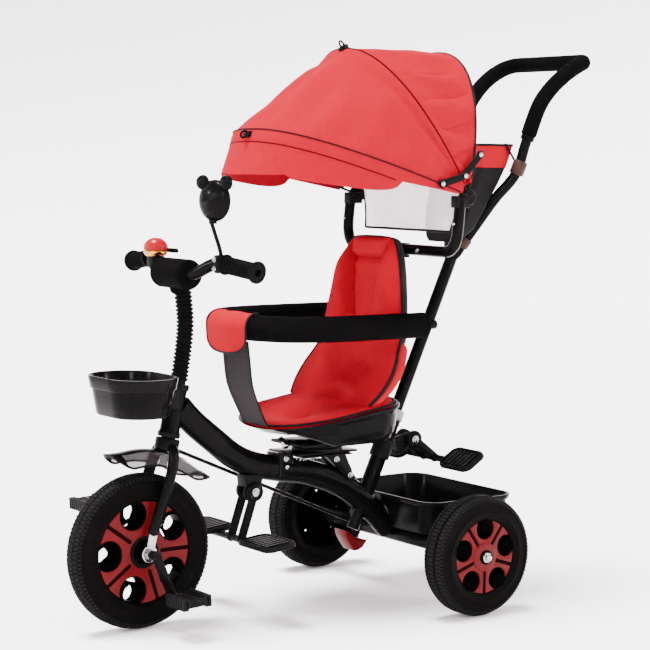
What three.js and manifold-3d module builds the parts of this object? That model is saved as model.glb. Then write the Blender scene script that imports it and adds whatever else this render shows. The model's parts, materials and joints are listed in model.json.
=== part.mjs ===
// Children's tricycle with a swivelling seat, a folding canopy and a steering push handle.
// Millimetres, +Z up, front towards -Y, the rider's left towards +X.
import * as THREE from "three";
import { mergeVertices } from "three/addons/utils/BufferGeometryUtils.js";
import Module from "manifold-3d";

const wasm = await Module();
wasm.setup();

// ---------------------------------------------------------------- driving dimensions
const frontRadius = 127; // 10 inch front wheel
const frontTyreWidth = 41;
const rearRadius = 102; // 8 inch rear wheels
const rearTyreWidth = 48;
const wheelbase = 520;
const rearTrack = 460; // between the rear wheels' mid planes
const clear = 0.4; // between touching or welded pieces
const tyreSeat = 1.2; // between a rim's edge and its tyre
const runClear = 1.2; // between pieces that turn past each other

const headAngle = THREE.MathUtils.degToRad(12);
const headLength = 88;
const headOuter = 16.5;
const steererRadius = 12;
const headHeight = 308; // lower end of the head tube
const headSetback = 465.5; // from the rear axle to the lower end of the head tube

const poleAngle = THREE.MathUtils.degToRad(24.4);
const poleRadius = 11.2;
const sleeveRadius = 14.4;
const poleFoot = new THREE.Vector3(0, -89.5, 118);
const sleeveStart = 24; // along the pole from its foot
const sleeveEnd = 222;
const splitAt = 525; // where the pole forks into two arms

const tubeHalfWidth = 18.5; // oval main tube
const tubeHalfHeight = 22;
const crossRadius = 13;
const axleRadius = 6;

const swivelY = -168;
const carrierTop = 266;
const panBottom = 284;
const panFront = -295;
const panRear = -62;
const panHalfWidth = 125;
const panWall = 4;
const backTop = 628;
const backBottom = 362;
const backPad = 20;
const guardHeight = 484;
const guardHalfWidth = 133;
const guardFront = -338;
const guardRear = -32;
const foamRadius = 21.5;
const guardTube = 8;

const canopyPivot = new THREE.Vector3(0, 28, 700);
const ribRadius = 2.3;
const ribs = {
  back: { halfWidth: 153, reach: 250, fullness: 2.38, lean: -11.2 },
  mid: { halfWidth: 158.5, reach: 286, fullness: 2.28, lean: 31.1 },
  front: { halfWidth: 164, reach: 350, fullness: 2.65, lean: 72.1 },
};
const ribStart = 7; // from the pivot to the end of a rib
const fabric = 1.6;
const fabricStand = 3.2; // from a rib's middle to the inside of the fabric
const visorDrop = 66;
const stayReach = 73.5; // from the pivot to a stay's rivet
const stayX = 171.5;
const frameHalfWidth = 155; // the canopy's U-shaped frame
const frameBarHeight = 606;
const frameTube = 10;

const barEnd = new THREE.Vector3(184, -422, 585);
const barShoulder = new THREE.Vector3(100, -434, 595);
const barMiddle = new THREE.Vector3(0, -453, 574);
const linkX = -28; // the steering link's pivots, from the fork's and the pole's axes
const linkY = 16;
const crankLength = 70;
const crankTurn = THREE.MathUtils.degToRad(24);
const pedalX = 108;
const pedalWidth = 54;
const pedalDepth = 52;
const frontTreadTilt = 0.1;
const rearTreadTilt = 0.55;

// ---------------------------------------------------------------- shape helpers
const v3 = (x, y, z) => new THREE.Vector3(x, y, z);

function solid(geometry) {
  const bare = new THREE.BufferGeometry();
  bare.setAttribute("position", geometry.getAttribute("position"));
  if (geometry.index) bare.setIndex(geometry.index);
  const merged = mergeVertices(bare, 1e-3);
  return new wasm.Manifold(
    new wasm.Mesh({
      numProp: 3,
      vertProperties: merged.attributes.position.array,
      triVerts: new Uint32Array(merged.index.array),
    }),
  );
}

function geometryOf(manifold) {
  const mesh = manifold.getMesh();
  return new THREE.BufferGeometry()
    .setAttribute("position", new THREE.BufferAttribute(mesh.vertProperties, 3))
    .setIndex(new THREE.BufferAttribute(mesh.triVerts, 1));
}

const join = (first, ...more) => geometryOf(more.reduce((sum, g) => sum.add(solid(g)), solid(first)));
const cut = (first, ...more) => geometryOf(more.reduce((sum, g) => sum.subtract(solid(g)), solid(first)));

// A box of the given widths with its middle at x, y, z.
const box = (w, d, h, x, y, z) => new THREE.BoxGeometry(w, d, h).translate(x, y, z);

// A geometry whose length lies along +Y, turned to run from a to b.
function along(geometry, a, b) {
  const turn = new THREE.Quaternion().setFromUnitVectors(v3(0, 1, 0), b.clone().sub(a).normalize());
  return geometry.applyQuaternion(turn).translate(...a.clone().add(b).multiplyScalar(0.5));
}

const rod = (a, b, radius, sides = 12) =>
  along(new THREE.CylinderGeometry(radius, radius, a.distanceTo(b), sides), a, b);

// A profile of (radius, height) points, turned about +Y and then laid from a to b.
function turned(profile, a, b, sides = 24) {
  const points = profile.map(([r, h]) => new THREE.Vector2(r, h));
  return along(new THREE.LatheGeometry(points, sides), a, b);
}

function pipe(a, b, outer, inner, sides = 16) {
  const half = a.distanceTo(b) / 2;
  const profile = [
    [inner, -half],
    [outer, -half],
    [outer, half],
    [inner, half],
    [inner, -half],
  ];
  return turned(profile, a, b, sides);
}

function ovalSection(rx, ry, inner = 0) {
  const shape = new THREE.Shape().absellipse(0, 0, rx, ry, 0, Math.PI * 2, false, 0);
  if (inner) shape.holes.push(new THREE.Path().absarc(0, 0, inner, 0, Math.PI * 2, true));
  return shape;
}

function sweep(points, section, steps, curveSegments = 6, tension = "centripetal") {
  const extrudePath = new THREE.CatmullRomCurve3(points, false, tension);
  return new THREE.ExtrudeGeometry(section, { steps, extrudePath, curveSegments });
}

function plate(shape, thickness, curveSegments = 6) {
  return new THREE.ExtrudeGeometry(shape, { depth: thickness, bevelEnabled: false, curveSegments });
}

function roundedRect(w, h, r) {
  const shape = new THREE.Shape();
  shape.absarc(w / 2 - r, h / 2 - r, r, 0, Math.PI / 2);
  shape.absarc(r - w / 2, h / 2 - r, r, Math.PI / 2, Math.PI);
  shape.absarc(r - w / 2, r - h / 2, r, Math.PI, Math.PI * 1.5);
  shape.absarc(w / 2 - r, r - h / 2, r, Math.PI * 1.5, Math.PI * 2);
  return shape;
}

// A closed sheet between two grids of points that match row by row.
function sheet(outer, inner) {
  const rows = outer.length;
  const columns = outer[0].length;
  const positions = [...outer.flat(), ...inner.flat()].flatMap((p) => [p.x, p.y, p.z]);
  const at = (side, i, j) => side * rows * columns + i * columns + j;
  const index = [];
  const quad = (a, b, c, d) => index.push(a, b, c, a, c, d);
  for (let i = 0; i < rows - 1; i++)
    for (let j = 0; j < columns - 1; j++) {
      quad(at(0, i, j), at(0, i, j + 1), at(0, i + 1, j + 1), at(0, i + 1, j));
      quad(at(1, i, j), at(1, i + 1, j), at(1, i + 1, j + 1), at(1, i, j + 1));
    }
  for (let i = 0; i < rows - 1; i++) {
    quad(at(0, i, 0), at(0, i + 1, 0), at(1, i + 1, 0), at(1, i, 0));
    quad(at(0, i + 1, columns - 1), at(0, i, columns - 1), at(1, i, columns - 1), at(1, i + 1, columns - 1));
  }
  for (let j = 0; j < columns - 1; j++) {
    quad(at(0, 0, j + 1), at(0, 0, j), at(1, 0, j), at(1, 0, j + 1));
    quad(at(0, rows - 1, j), at(0, rows - 1, j + 1), at(1, rows - 1, j + 1), at(1, rows - 1, j));
  }
  return new THREE.BufferGeometry()
    .setAttribute("position", new THREE.Float32BufferAttribute(positions, 3))
    .setIndex(index);
}

const grid = (rows, columns, point) =>
  Array.from({ length: rows }, (_, i) =>
    Array.from({ length: columns }, (_, j) => point(i / (rows - 1), j / (columns - 1))),
  );

// ---------------------------------------------------------------- materials and the scene
const look = (color, roughness, metalness = 0) => ({ color, roughness, metalness });
const blackPaint = look(0x151515, 0.35, 0.3);
const blackPlastic = look(0x101010, 0.3);
const blackFoam = look(0x1a1a1a, 0.9);
const rubber = look(0x161616, 0.8);
const redPlastic = look(0xb0141a, 0.4);
const redFabric = look(0xe21f2b, 0.85);
const greyStrap = look(0x3a3436, 0.9);
const blackFabric = look(0x0d0d0f, 0.9);
const meshCloth = look(0xe4e2e4, 0.9);
const smoky = look(0x8d8890, 0.25);
const steel = look(0xb9bcc0, 0.3, 0.9);
const gold = look(0xc79a3a, 0.3, 0.8);

const tricycle = new THREE.Group();
const model = new THREE.Group();
tricycle.add(model);

function add(name, geometry, material, parent = model) {
  const mesh = new THREE.Mesh(geometry, new THREE.MeshStandardMaterial(material));
  mesh.name = name;
  parent.add(mesh);
  return mesh;
}

// The steering frame: origin at the lower end of the head tube, +Z up the steering axis.
const steering = new THREE.Group();
steering.position.set(0, -headSetback, headHeight);
steering.rotation.x = -headAngle;
steering.updateMatrix();
model.add(steering);
const toSteering = (p) => p.clone().applyMatrix4(steering.matrix.clone().invert());

// The push pole's frame: origin at the pole's foot, +Z up the pole.
const pole = new THREE.Group();
pole.position.copy(poleFoot);
pole.rotation.x = -poleAngle;
pole.updateMatrix();
model.add(pole);
const toPole = (p) => p.clone().applyMatrix4(pole.matrix.clone().invert());
const poleToModel = (p) => p.clone().applyMatrix4(pole.matrix);
const steeringToModel = (p) => p.clone().applyMatrix4(steering.matrix);

// ---------------------------------------------------------------- frame
const rearAxle = v3(0, 0, rearRadius);
const frontAxle = v3(0, -wheelbase, frontRadius);
const onPole = (distance, x = 0) => poleToModel(v3(x, 0, distance));

const tubeLine = [
  [-446, 356],
  [-418, 328],
  [-382, 299],
  [-340, 267],
  [-300, 249],
  [-245, 237],
  [-184, 225],
  [-110, 195],
  [-50, 150],
  [-10, 112],
].map(([y, z]) => v3(0, y, z));
const headHole = rod(
  steeringToModel(v3(0, 0, -20)),
  steeringToModel(v3(0, 0, headLength + 20)),
  headOuter + clear,
  16,
);
const sleeveHole = rod(onPole(-60), onPole(sleeveEnd), sleeveRadius + clear, 16);
const crossHole = rod(v3(-60, 0, rearRadius), v3(60, 0, rearRadius), crossRadius + clear, 16);
const mainTube = sweep(tubeLine, ovalSection(tubeHalfWidth, tubeHalfHeight), 14, 5);
add("main_tube", cut(mainTube, headHole, sleeveHole, crossHole), blackPaint);
add("head_tube", pipe(v3(0, 0, 0), v3(0, 0, headLength), headOuter, steererRadius + 0.7), blackPaint, steering);

const crossHalf = rearTrack / 2 - rearTyreWidth / 2 - 8;
add(
  "rear_cross_tube",
  pipe(v3(-crossHalf, 0, rearRadius), v3(crossHalf, 0, rearRadius), crossRadius, axleRadius + clear),
  blackPaint,
);
const nutHalf = rearTrack / 2 + rearTyreWidth / 2 - 4;
add(
  "rear_axle",
  join(
    rod(v3(-nutHalf - 12, 0, rearRadius), v3(nutHalf + 12, 0, rearRadius), axleRadius, 12),
    rod(v3(nutHalf + 2, 0, rearRadius), v3(nutHalf + 9, 0, rearRadius), 10, 6),
    rod(v3(-nutHalf - 9, 0, rearRadius), v3(-nutHalf - 2, 0, rearRadius), 10, 6),
  ),
  steel,
);
add(
  "pole_sleeve",
  pipe(v3(0, 0, sleeveStart), v3(0, 0, sleeveEnd), sleeveRadius, poleRadius + 0.9),
  blackPaint,
  pole,
);

// Seat carrier: a plate on a front post and a rear gusset, with the turntable's fixed ring.
const mainTubeWide = sweep(tubeLine, ovalSection(tubeHalfWidth + clear, tubeHalfHeight + clear), 14, 5);
const gussetShape = new THREE.Shape([
  new THREE.Vector2(-122, carrierTop - 3),
  new THREE.Vector2(-92, 190),
  new THREE.Vector2(-106, 190),
  new THREE.Vector2(-150, 232),
  new THREE.Vector2(-152, carrierTop - 3),
]);
const gusset = plate(gussetShape, 24)
  .rotateX(Math.PI / 2)
  .rotateZ(Math.PI / 2)
  .translate(-12, 0, 0);
const postFront = -242;
add(
  "seat_carrier",
  cut(
    join(
      box(84, 128, 4, 0, -176, carrierTop - 2),
      box(30, 30, 34, 0, postFront, carrierTop - 18),
      rod(v3(0, swivelY, carrierTop - 1), v3(0, swivelY, carrierTop + 5), 44, 18),
      gusset,
    ),
    mainTubeWide,
    sleeveHole,
  ),
  blackPaint,
);

// Lugs that carry the folding footrests.
const frontHinge = v3(0, -306, 205);
const rearHinge = v3(0, 33, 268);
add(
  "front_footrest_lug",
  cut(
    join(
      rod(frontHinge.clone().setX(7.5), frontHinge.clone().setX(13), 18, 14),
      rod(frontHinge.clone().setX(-13), frontHinge.clone().setX(-7.5), 18, 14),
      box(5.5, 26, 40, 10.25, frontHinge.y, frontHinge.z + 20),
      box(5.5, 26, 40, -10.25, frontHinge.y, frontHinge.z + 20),
      box(24, 26, 8, 0, frontHinge.y, frontHinge.z + 24),
      rod(frontHinge.clone().setX(-17), frontHinge.clone().setX(17), 4, 10),
    ),
    mainTubeWide,
  ),
  blackPaint,
);
add(
  "rear_footrest_lug",
  cut(
    join(
      box(5.5, 44, 26, 10.25, rearHinge.y - 18, rearHinge.z),
      box(5.5, 44, 26, -10.25, rearHinge.y - 18, rearHinge.z),
      box(24, 26, 26, 0, rearHinge.y - 30, rearHinge.z),
      rod(rearHinge.clone().setX(7.5), rearHinge.clone().setX(13), 15, 14),
      rod(rearHinge.clone().setX(-13), rearHinge.clone().setX(-7.5), 15, 14),
      rod(rearHinge.clone().setX(-17), rearHinge.clone().setX(17), 4, 10),
    ),
    sleeveHole,
  ),
  blackPaint,
);

// ---------------------------------------------------------------- baskets
const tubPoints = 24;
// A tapered tub of rounded plan with its mouth open upwards.
function tub({ width, depth, height, corner, wall, taper, lip }) {
  const ring = (z, inset, shrink) =>
    roundedRect(width - 2 * inset, depth - 2 * inset, corner - inset * 0.8)
      .getSpacedPoints(tubPoints)
      .slice(0, tubPoints)
      .map((p) => v3(p.x * shrink, p.y * shrink, z));
  const loops = [
    ring(0, 0, 1 - taper),
    ring(height - lip, 0, 1 - taper * 0.25),
    ring(height - lip, -3, 1 - taper * 0.1),
    ring(height, -3, 1),
    ring(height, wall, 1),
    ring(wall, wall, 1 - taper),
  ];
  return lofted(loops);
}

// A closed body through matching loops, capped flat on its first and last loop.
function lofted(loops) {
  const n = loops[0].length;
  const positions = loops.flat().flatMap((p) => [p.x, p.y, p.z]);
  const index = [];
  for (let i = 0; i < loops.length - 1; i++)
    for (let j = 0; j < n; j++) {
      const k = (j + 1) % n;
      index.push(i * n + j, i * n + k, (i + 1) * n + k);
      index.push(i * n + j, (i + 1) * n + k, (i + 1) * n + j);
    }
  const cap = (i) => {
    const flat = loops[i].map((p) => new THREE.Vector2(p.x, p.y));
    return THREE.ShapeUtils.triangulateShape(flat, []).map((t) => t.map((k) => i * n + k));
  };
  for (const [a, b, c] of cap(0)) index.push(c, b, a);
  for (const [a, b, c] of cap(loops.length - 1)) index.push(a, b, c);
  return new THREE.BufferGeometry()
    .setAttribute("position", new THREE.Float32BufferAttribute(positions, 3))
    .setIndex(index);
}

const frontTub = { width: 160, depth: 116, height: 64, corner: 44, wall: 3, taper: 0.14, lip: 20 };
add("front_basket", tub(frontTub), blackPlastic).position.set(0, -532, 348);
const rearTub = { width: 280, depth: 196, height: 62, corner: 34, wall: 3, taper: 0.12, lip: 8 };
const rearBasket = tub(rearTub).translate(0, 68, rearRadius + crossRadius + clear);
add("rear_basket", cut(rearBasket, mainTubeWide), blackPlastic);

// ---------------------------------------------------------------- wheels
function tyreProfile(radius, width, seat) {
  const half = width / 2;
  return [
    [seat, -half * 0.62],
    [radius - 9, -half],
    [radius, -half * 0.42],
    [radius, half * 0.42],
    [radius - 9, half],
    [seat, half * 0.62],
    [seat, -half * 0.62],
  ];
}

const spokes = 5;
const circle = (x, y, radius, count) =>
  Array.from({ length: count }, (_, i) => {
    const a = (i / count) * 2 * Math.PI;
    return new THREE.Vector2(x + radius * Math.cos(a), y + radius * Math.sin(a));
  });

// A spoked rim: a disc with five round windows, a hub and a bore.
function rim(radius, width, hubRadius, bore, firstSpoke) {
  const disc = new THREE.Shape(circle(0, 0, radius, 24));
  disc.holes.push(new THREE.Path(circle(0, 0, bore, 12)));
  for (let k = 0; k < spokes; k++) {
    const a = firstSpoke + ((k + 0.5) * 2 * Math.PI) / spokes;
    const ring = radius * 0.66;
    disc.holes.push(new THREE.Path(circle(Math.cos(a) * ring, Math.sin(a) * ring, radius * 0.23, 8)));
  }
  const face = plate(disc, width * 0.62).rotateY(Math.PI / 2).translate(-width * 0.31, 0, 0);
  return join(face, pipe(v3(-width / 2, 0, 0), v3(width / 2, 0, 0), hubRadius, bore, 12));
}

const frontRimRadius = frontRadius * 0.65;
const rearRimRadius = rearRadius * 0.6;
const inSteering = toSteering(frontAxle);
const tyreBetween = (p) => [p.clone().setX(p.x - 1), p.clone().setX(p.x + 1)];
add(
  "front_tyre",
  turned(tyreProfile(frontRadius, frontTyreWidth, frontRimRadius + tyreSeat), ...tyreBetween(v3(0, 0, 0)), 26),
  rubber,
).position.copy(frontAxle);
add("front_rim", rim(frontRimRadius, frontTyreWidth, 24, 8, 0), redPlastic).position.copy(frontAxle);
for (const [side, sign] of [
  ["left", 1],
  ["right", -1],
]) {
  const middle = v3((sign * rearTrack) / 2, 0, rearRadius);
  const profile = tyreProfile(rearRadius, rearTyreWidth, rearRimRadius + tyreSeat);
  add("rear_tyre_" + side, turned(profile, ...tyreBetween(v3(0, 0, 0)), 24), rubber).position.copy(middle);
  const wheel = rim(rearRimRadius, rearTyreWidth - 9, 15, axleRadius + clear, Math.PI / 2);
  add("rear_rim_" + side, wheel, redPlastic).position.copy(middle);
}

// Crank axle with an arm at each end, half a turn apart.
const crankX = 55;
const crankEnd = v3(0, Math.sin(crankTurn), -Math.cos(crankTurn)).multiplyScalar(crankLength);
function crankArm(sign) {
  const end = crankEnd.clone().multiplyScalar(sign);
  const arm = box(7, 13, crankLength, 0, 0, -crankLength / 2).rotateX(crankTurn + (sign < 0 ? Math.PI : 0));
  return join(
    arm.translate(sign * crankX, 0, 0),
    rod(v3(sign * (crankX - 3.5), 0, 0), v3(sign * (crankX + 3.5), 0, 0), 11, 16),
    rod(v3(sign * (crankX - 3.5), end.y, end.z), v3(sign * (crankX + 3.5), end.y, end.z), 9, 14),
    rod(v3(sign * crankX, end.y, end.z), v3(sign * (pedalX + pedalWidth / 2 + 5), end.y, end.z), 4, 10),
  );
}
add(
  "crank_axle",
  join(rod(v3(-crankX, 0, 0), v3(crankX, 0, 0), 7.5, 14), crankArm(1), crankArm(-1)),
  steel,
).position.copy(frontAxle);
for (const [side, sign] of [
  ["left", 1],
  ["right", -1],
]) {
  const bore = rod(v3(-60, 0, 0), v3(60, 0, 0), 4 + 0.5, 14);
  const tread = plate(roundedRect(pedalWidth, pedalDepth, 12), 18, 3).translate(0, 0, -9);
  const gap = (y) => box(pedalWidth - 18, 8, 40, 0, y, 0);
  const pedal = cut(tread, bore, gap(-pedalDepth / 4), gap(pedalDepth / 4));
  const at = frontAxle.clone().add(crankEnd.clone().multiplyScalar(sign));
  add("pedal_" + side, pedal, blackPlastic).position.set(sign * pedalX, at.y, at.z);
}

// ---------------------------------------------------------------- fork, stem and handlebar
const legX = 33;
const crownDrop = 14;
const leg = (sign, grow = 0) =>
  sweep(
    [
      v3(sign * 10, 2, -crownDrop),
      v3(sign * 26, 0, -24),
      v3(sign * legX, -2, -52),
      v3(sign * legX, inSteering.y + 8, -110),
      v3(sign * legX, inSteering.y, inSteering.z + 22),
    ],
    ovalSection(7 + grow, 10 + grow),
    7,
    4,
  );
const dropout = (sign) =>
  cut(
    join(
      box(4, 16, 34, sign * legX, inSteering.y, inSteering.z + 15),
      rod(
        v3(sign * (legX - 2), inSteering.y, inSteering.z),
        v3(sign * (legX + 2), inSteering.y, inSteering.z),
        13,
        16,
      ),
    ),
    rod(v3(-60, inSteering.y, inSteering.z), v3(60, inSteering.y, inSteering.z), 7.5 + 0.5, 16),
  );
const armZ = -7;
add(
  "fork",
  join(
    rod(v3(0, 0, -8), v3(0, 0, headLength + 14), steererRadius, 16),
    rod(v3(0, 0, -22), v3(0, 0, -1.4), 20, 20),
    box(-linkX, 18, 5, linkX / 2, linkY / 2, armZ),
    rod(v3(linkX, linkY, armZ - 2.5), v3(linkX, linkY, armZ + 2.5), 9, 12),
    leg(1),
    leg(-1),
    dropout(1),
    dropout(-1),
  ),
  blackPaint,
  steering,
);

// Mudguard: an arched strip over the wheel.
const guardRadius = 163;
const guardHalf = 30;
const guardStart = THREE.MathUtils.degToRad(38);
const guardSweep = THREE.MathUtils.degToRad(78);
const guardPoint = (grow) => (t, u) => {
  const a = guardStart + t * guardSweep;
  const side = (u * 2 - 1) * guardHalf;
  const r = guardRadius + grow - 22 * Math.pow(Math.abs(u * 2 - 1), 2.4);
  return v3(side * (1 + grow * 0.02), Math.cos(a) * r, Math.sin(a) * r);
};
const mudguard = sheet(grid(9, 7, guardPoint(0)), grid(9, 7, guardPoint(2))).translate(...frontAxle);
const legNotch = (sign) => leg(sign, 1).applyMatrix4(steering.matrix);
add("mudguard", cut(mudguard, legNotch(1), legNotch(-1)), smoky);

const stemLine = [
  steeringToModel(v3(0, 0, headLength + 17)),
  v3(0, -437, 460),
  v3(0, -435, 498),
  v3(0, -440, 548),
];
add("stem_bellows", sweep(stemLine, ovalSection(14.5, 14.5), 6, 5), blackFoam);
const foamHalf = 44;
const same = (p) => p.clone();
const mirrored = (p) => v3(-p.x, p.y, p.z);
// Half of the handlebar, grown by the given clearance.
function barHalf(side, grow = 0) {
  const points = [barMiddle, side(v3(50, -452, 575)), side(barShoulder), side(barEnd)];
  const extrudePath = new THREE.CatmullRomCurve3(points, false, "catmullrom", 0.3);
  const section = ovalSection(10 + grow, 10 + grow);
  return new THREE.ExtrudeGeometry(section, { steps: 7, extrudePath, curveSegments: 4 });
}
add(
  "stem_foam",
  cut(
    join(
      rod(v3(-foamHalf, -453, 574), v3(foamHalf, -453, 574), 25, 16),
      rod(v3(0, -440.5, 548.6), v3(0, -449, 568), 19, 16),
    ),
    rod(barMiddle.clone().setX(-60), barMiddle.clone().setX(60), 14, 10),
    rod(v3(0, -438, 530), v3(0, -440.2, 548.4), 30, 12),
  ),
  blackFoam,
);
add(
  "handlebar",
  join(rod(barMiddle.clone().setX(-46), barMiddle.clone().setX(46), 9, 8), barHalf(same), barHalf(mirrored)),
  blackPaint,
);
for (const [name, side] of [
  ["grip_left", same],
  ["grip_right", mirrored],
]) {
  const a = side(barShoulder.clone().lerp(barEnd, 0.16));
  const b = side(barEnd.clone().add(barEnd.clone().sub(barShoulder).setLength(7)));
  const flange = side(barEnd.clone().lerp(barShoulder, 0.02));
  add(name, cut(join(rod(a, b, 14, 12), rod(flange, b, 18, 16)), barHalf(side, clear)), rubber);
}
// Bell on the right-hand side and mirror on the left-hand side.
const bellAt = v3(-72, -448, 600);
const bellTurned = (profile) =>
  turned(profile, bellAt.clone().add(v3(0, 0, -1)), bellAt.clone().add(v3(0, 0, 1)), 16);
add(
  "bell",
  cut(
    join(
      bellTurned([
        [0, 0],
        [16, 0],
        [18, 3],
        [18, 16],
        [15, 26],
        [8, 32],
        [0, 34],
      ]),
      box(20, 26, 22, bellAt.x, bellAt.y - 3, bellAt.z - 8),
    ),
    barHalf(mirrored, clear),
  ),
  gold,
);
const bellLeverPivot = v3(bellAt.x + 4, bellAt.y + 23, bellAt.z + 8);
add(
  "bell_lever",
  join(
    rod(bellLeverPivot.clone().add(v3(0, 0, -4)), bellLeverPivot.clone().add(v3(0, 0, 4)), 4, 10),
    box(24, 3, 6, bellLeverPivot.x + 14, bellLeverPivot.y + 1.4, bellLeverPivot.z),
  ),
  blackPlastic,
);
const mirrorBase = v3(108, -433, 594);
const mirrorAt = v3(112, -462, 700);
add(
  "mirror_stem",
  cut(
    join(
      box(11, 30, 30, mirrorBase.x, mirrorBase.y, mirrorBase.z),
      sweep(
        [mirrorBase.clone().add(v3(0, -2, 10)), v3(108, -447, 640), mirrorAt.clone().add(v3(0, 1, -30))],
        ovalSection(3.2, 3.2),
        6,
        4,
      ),
      new THREE.SphereGeometry(5.5, 8, 6).translate(mirrorAt.x, mirrorAt.y + 1, mirrorAt.z - 30),
    ),
    barHalf(same, clear),
    rod(barShoulder.clone().lerp(barEnd, 0.155), barEnd, 15, 16),
  ),
  blackPlastic,
);
const mirrorRadius = 33;
const mirrorProfile = [
  [0, -12],
  [14, -10.5],
  [26, -6],
  [mirrorRadius, 0],
  [mirrorRadius, 4],
  [0, 4],
];
const ear = (x) => rod(v3(x, -2, 29), v3(x, 3, 29), 12, 12);
const mirrorSocket = new THREE.SphereGeometry(6.4, 8, 6).translate(0, 1, -30);
add(
  "mirror_head",
  cut(join(turned(mirrorProfile, v3(0, -1, 0), v3(0, 1, 0), 18), ear(25), ear(-25)), mirrorSocket),
  blackPlastic,
).position.copy(mirrorAt);

// ---------------------------------------------------------------- seat
function panOutline(inset) {
  const w = panHalfWidth - inset;
  const front = panFront + inset;
  const rear = panRear - inset;
  const middle = -198;
  const corner = 60;
  const shape = new THREE.Shape();
  shape.absellipse(0, middle, w, middle - front, Math.PI, Math.PI * 2, false, 0);
  shape.absarc(w - corner, rear - corner, corner, 0, Math.PI / 2);
  shape.absarc(corner - w, rear - corner, corner, Math.PI / 2, Math.PI);
  return shape;
}
const panHeight = 66;
const slope = 0.14;
const aboveSlope = (lift) =>
  new THREE.BoxGeometry(400, 500, 200)
    .rotateX(slope)
    .translate(0, -180, 100 / Math.cos(slope) + panBottom + 44 + lift);
const frontRise = 0.34;
const underFront = new THREE.BoxGeometry(400, 200, 80)
  .translate(0, -100, -40)
  .rotateX(-frontRise)
  .translate(0, -212, panBottom);
add(
  "seat_shell",
  cut(
    join(
      plate(panOutline(14), 10, 6).translate(0, 0, panBottom),
      plate(panOutline(0), panHeight - 8, 6).translate(0, 0, panBottom + 8),
    ),
    cut(
      plate(panOutline(panWall + 2), panHeight, 6).translate(0, 0, panBottom + 14),
      underFront.clone().translate(0, 0, 14),
    ),
    aboveSlope(12),
    underFront,
  ),
  blackPlastic,
);
add(
  "seat_pad",
  cut(
    plate(panOutline(panWall + 3), panHeight, 6).translate(0, 0, panBottom + 14 + clear),
    aboveSlope(2),
    underFront.clone().translate(0, 0, 14 + clear),
  ),
  redFabric,
);

// The back: a dished sheet cut to a rounded outline.
const backCurve = 0.0028;
const backLean = 25 / 254;
const backWidth = (z) => {
  const t = (backTop - z) / (backTop - backBottom);
  return 118 * Math.pow(Math.min(1, t * 1.02 + 0.035), 0.3) + 6;
};
const backFace = (offset) => (t, u) => {
  const z = backBottom + t * (backTop - backBottom);
  const x = backWidth(z) * (u * 2 - 1);
  return v3(x, -50 - (backTop - z) * backLean - backCurve * x * x + offset, z);
};
add(
  "back_pad",
  sheet(grid(8, 9, backFace(0)), grid(8, 9, backFace(backPad))),
  redFabric,
);
const backShellAt = backPad + clear * 2;
add(
  "seat_back_shell",
  join(
    sheet(grid(8, 9, backFace(backShellAt)), grid(8, 9, backFace(backShellAt + 5))),
    box(64, 11, 62, 0, panRear + 6, 329.4),
    box(64, 4, 20, 0, panRear + 10, 368),
  ),
  blackPlastic,
);

add(
  "turntable_top",
  join(
    rod(v3(0, swivelY, carrierTop + 5 + runClear), v3(0, swivelY, carrierTop + 9), 46, 18),
    box(96, 110, 5, 0, swivelY, carrierTop + 11),
    box(60, 80, panBottom - carrierTop - 12 - clear, 0, swivelY, (panBottom + carrierTop + 12 - clear) / 2),
  ),
  blackPaint,
);

// Guard ring round the rider: a bent tube in a foam sleeve.
const guardLine = () => {
  const half = [
    v3(guardHalfWidth, guardRear, guardHeight),
    v3(guardHalfWidth, -120, guardHeight),
    v3(guardHalfWidth - 2, -220, guardHeight),
    v3(guardHalfWidth - 24, -292, guardHeight),
    v3(60, guardFront + 8, guardHeight),
  ];
  return [...half, v3(0, guardFront, guardHeight), ...half.slice().reverse().map(mirrored)];
};
const guardSteps = 14;
const guardFoam = sweep(guardLine(), ovalSection(foamRadius, foamRadius, guardTube + 3 * clear), guardSteps, 4);
add("guard_foam", cut(guardFoam, box(400, 20, 60, 0, guardRear, guardHeight)), blackFoam);
add("guard_tube", sweep(guardLine(), ovalSection(guardTube, guardTube), guardSteps, 4), blackPaint);

// The strap between the rider's legs, from the guard ring to the seat's front.
const strapHalf = 37;
const strapLine = new THREE.CatmullRomCurve3([
  v3(0, guardFront + 2, guardHeight - foamRadius - 1),
  v3(0, guardFront + 6, 430),
  v3(0, -326, 385),
  v3(0, -308, 345),
  v3(0, -296.5, 322),
]);
const strapPoint = (offset) => (t, u) => {
  const p = strapLine.getPoint(t);
  return v3((u * 2 - 1) * strapHalf * (1 - 0.14 * t), p.y + offset, p.z);
};
add("crotch_strap", sheet(grid(8, 3, strapPoint(0)), grid(8, 3, strapPoint(-3))), greyStrap);

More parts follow.
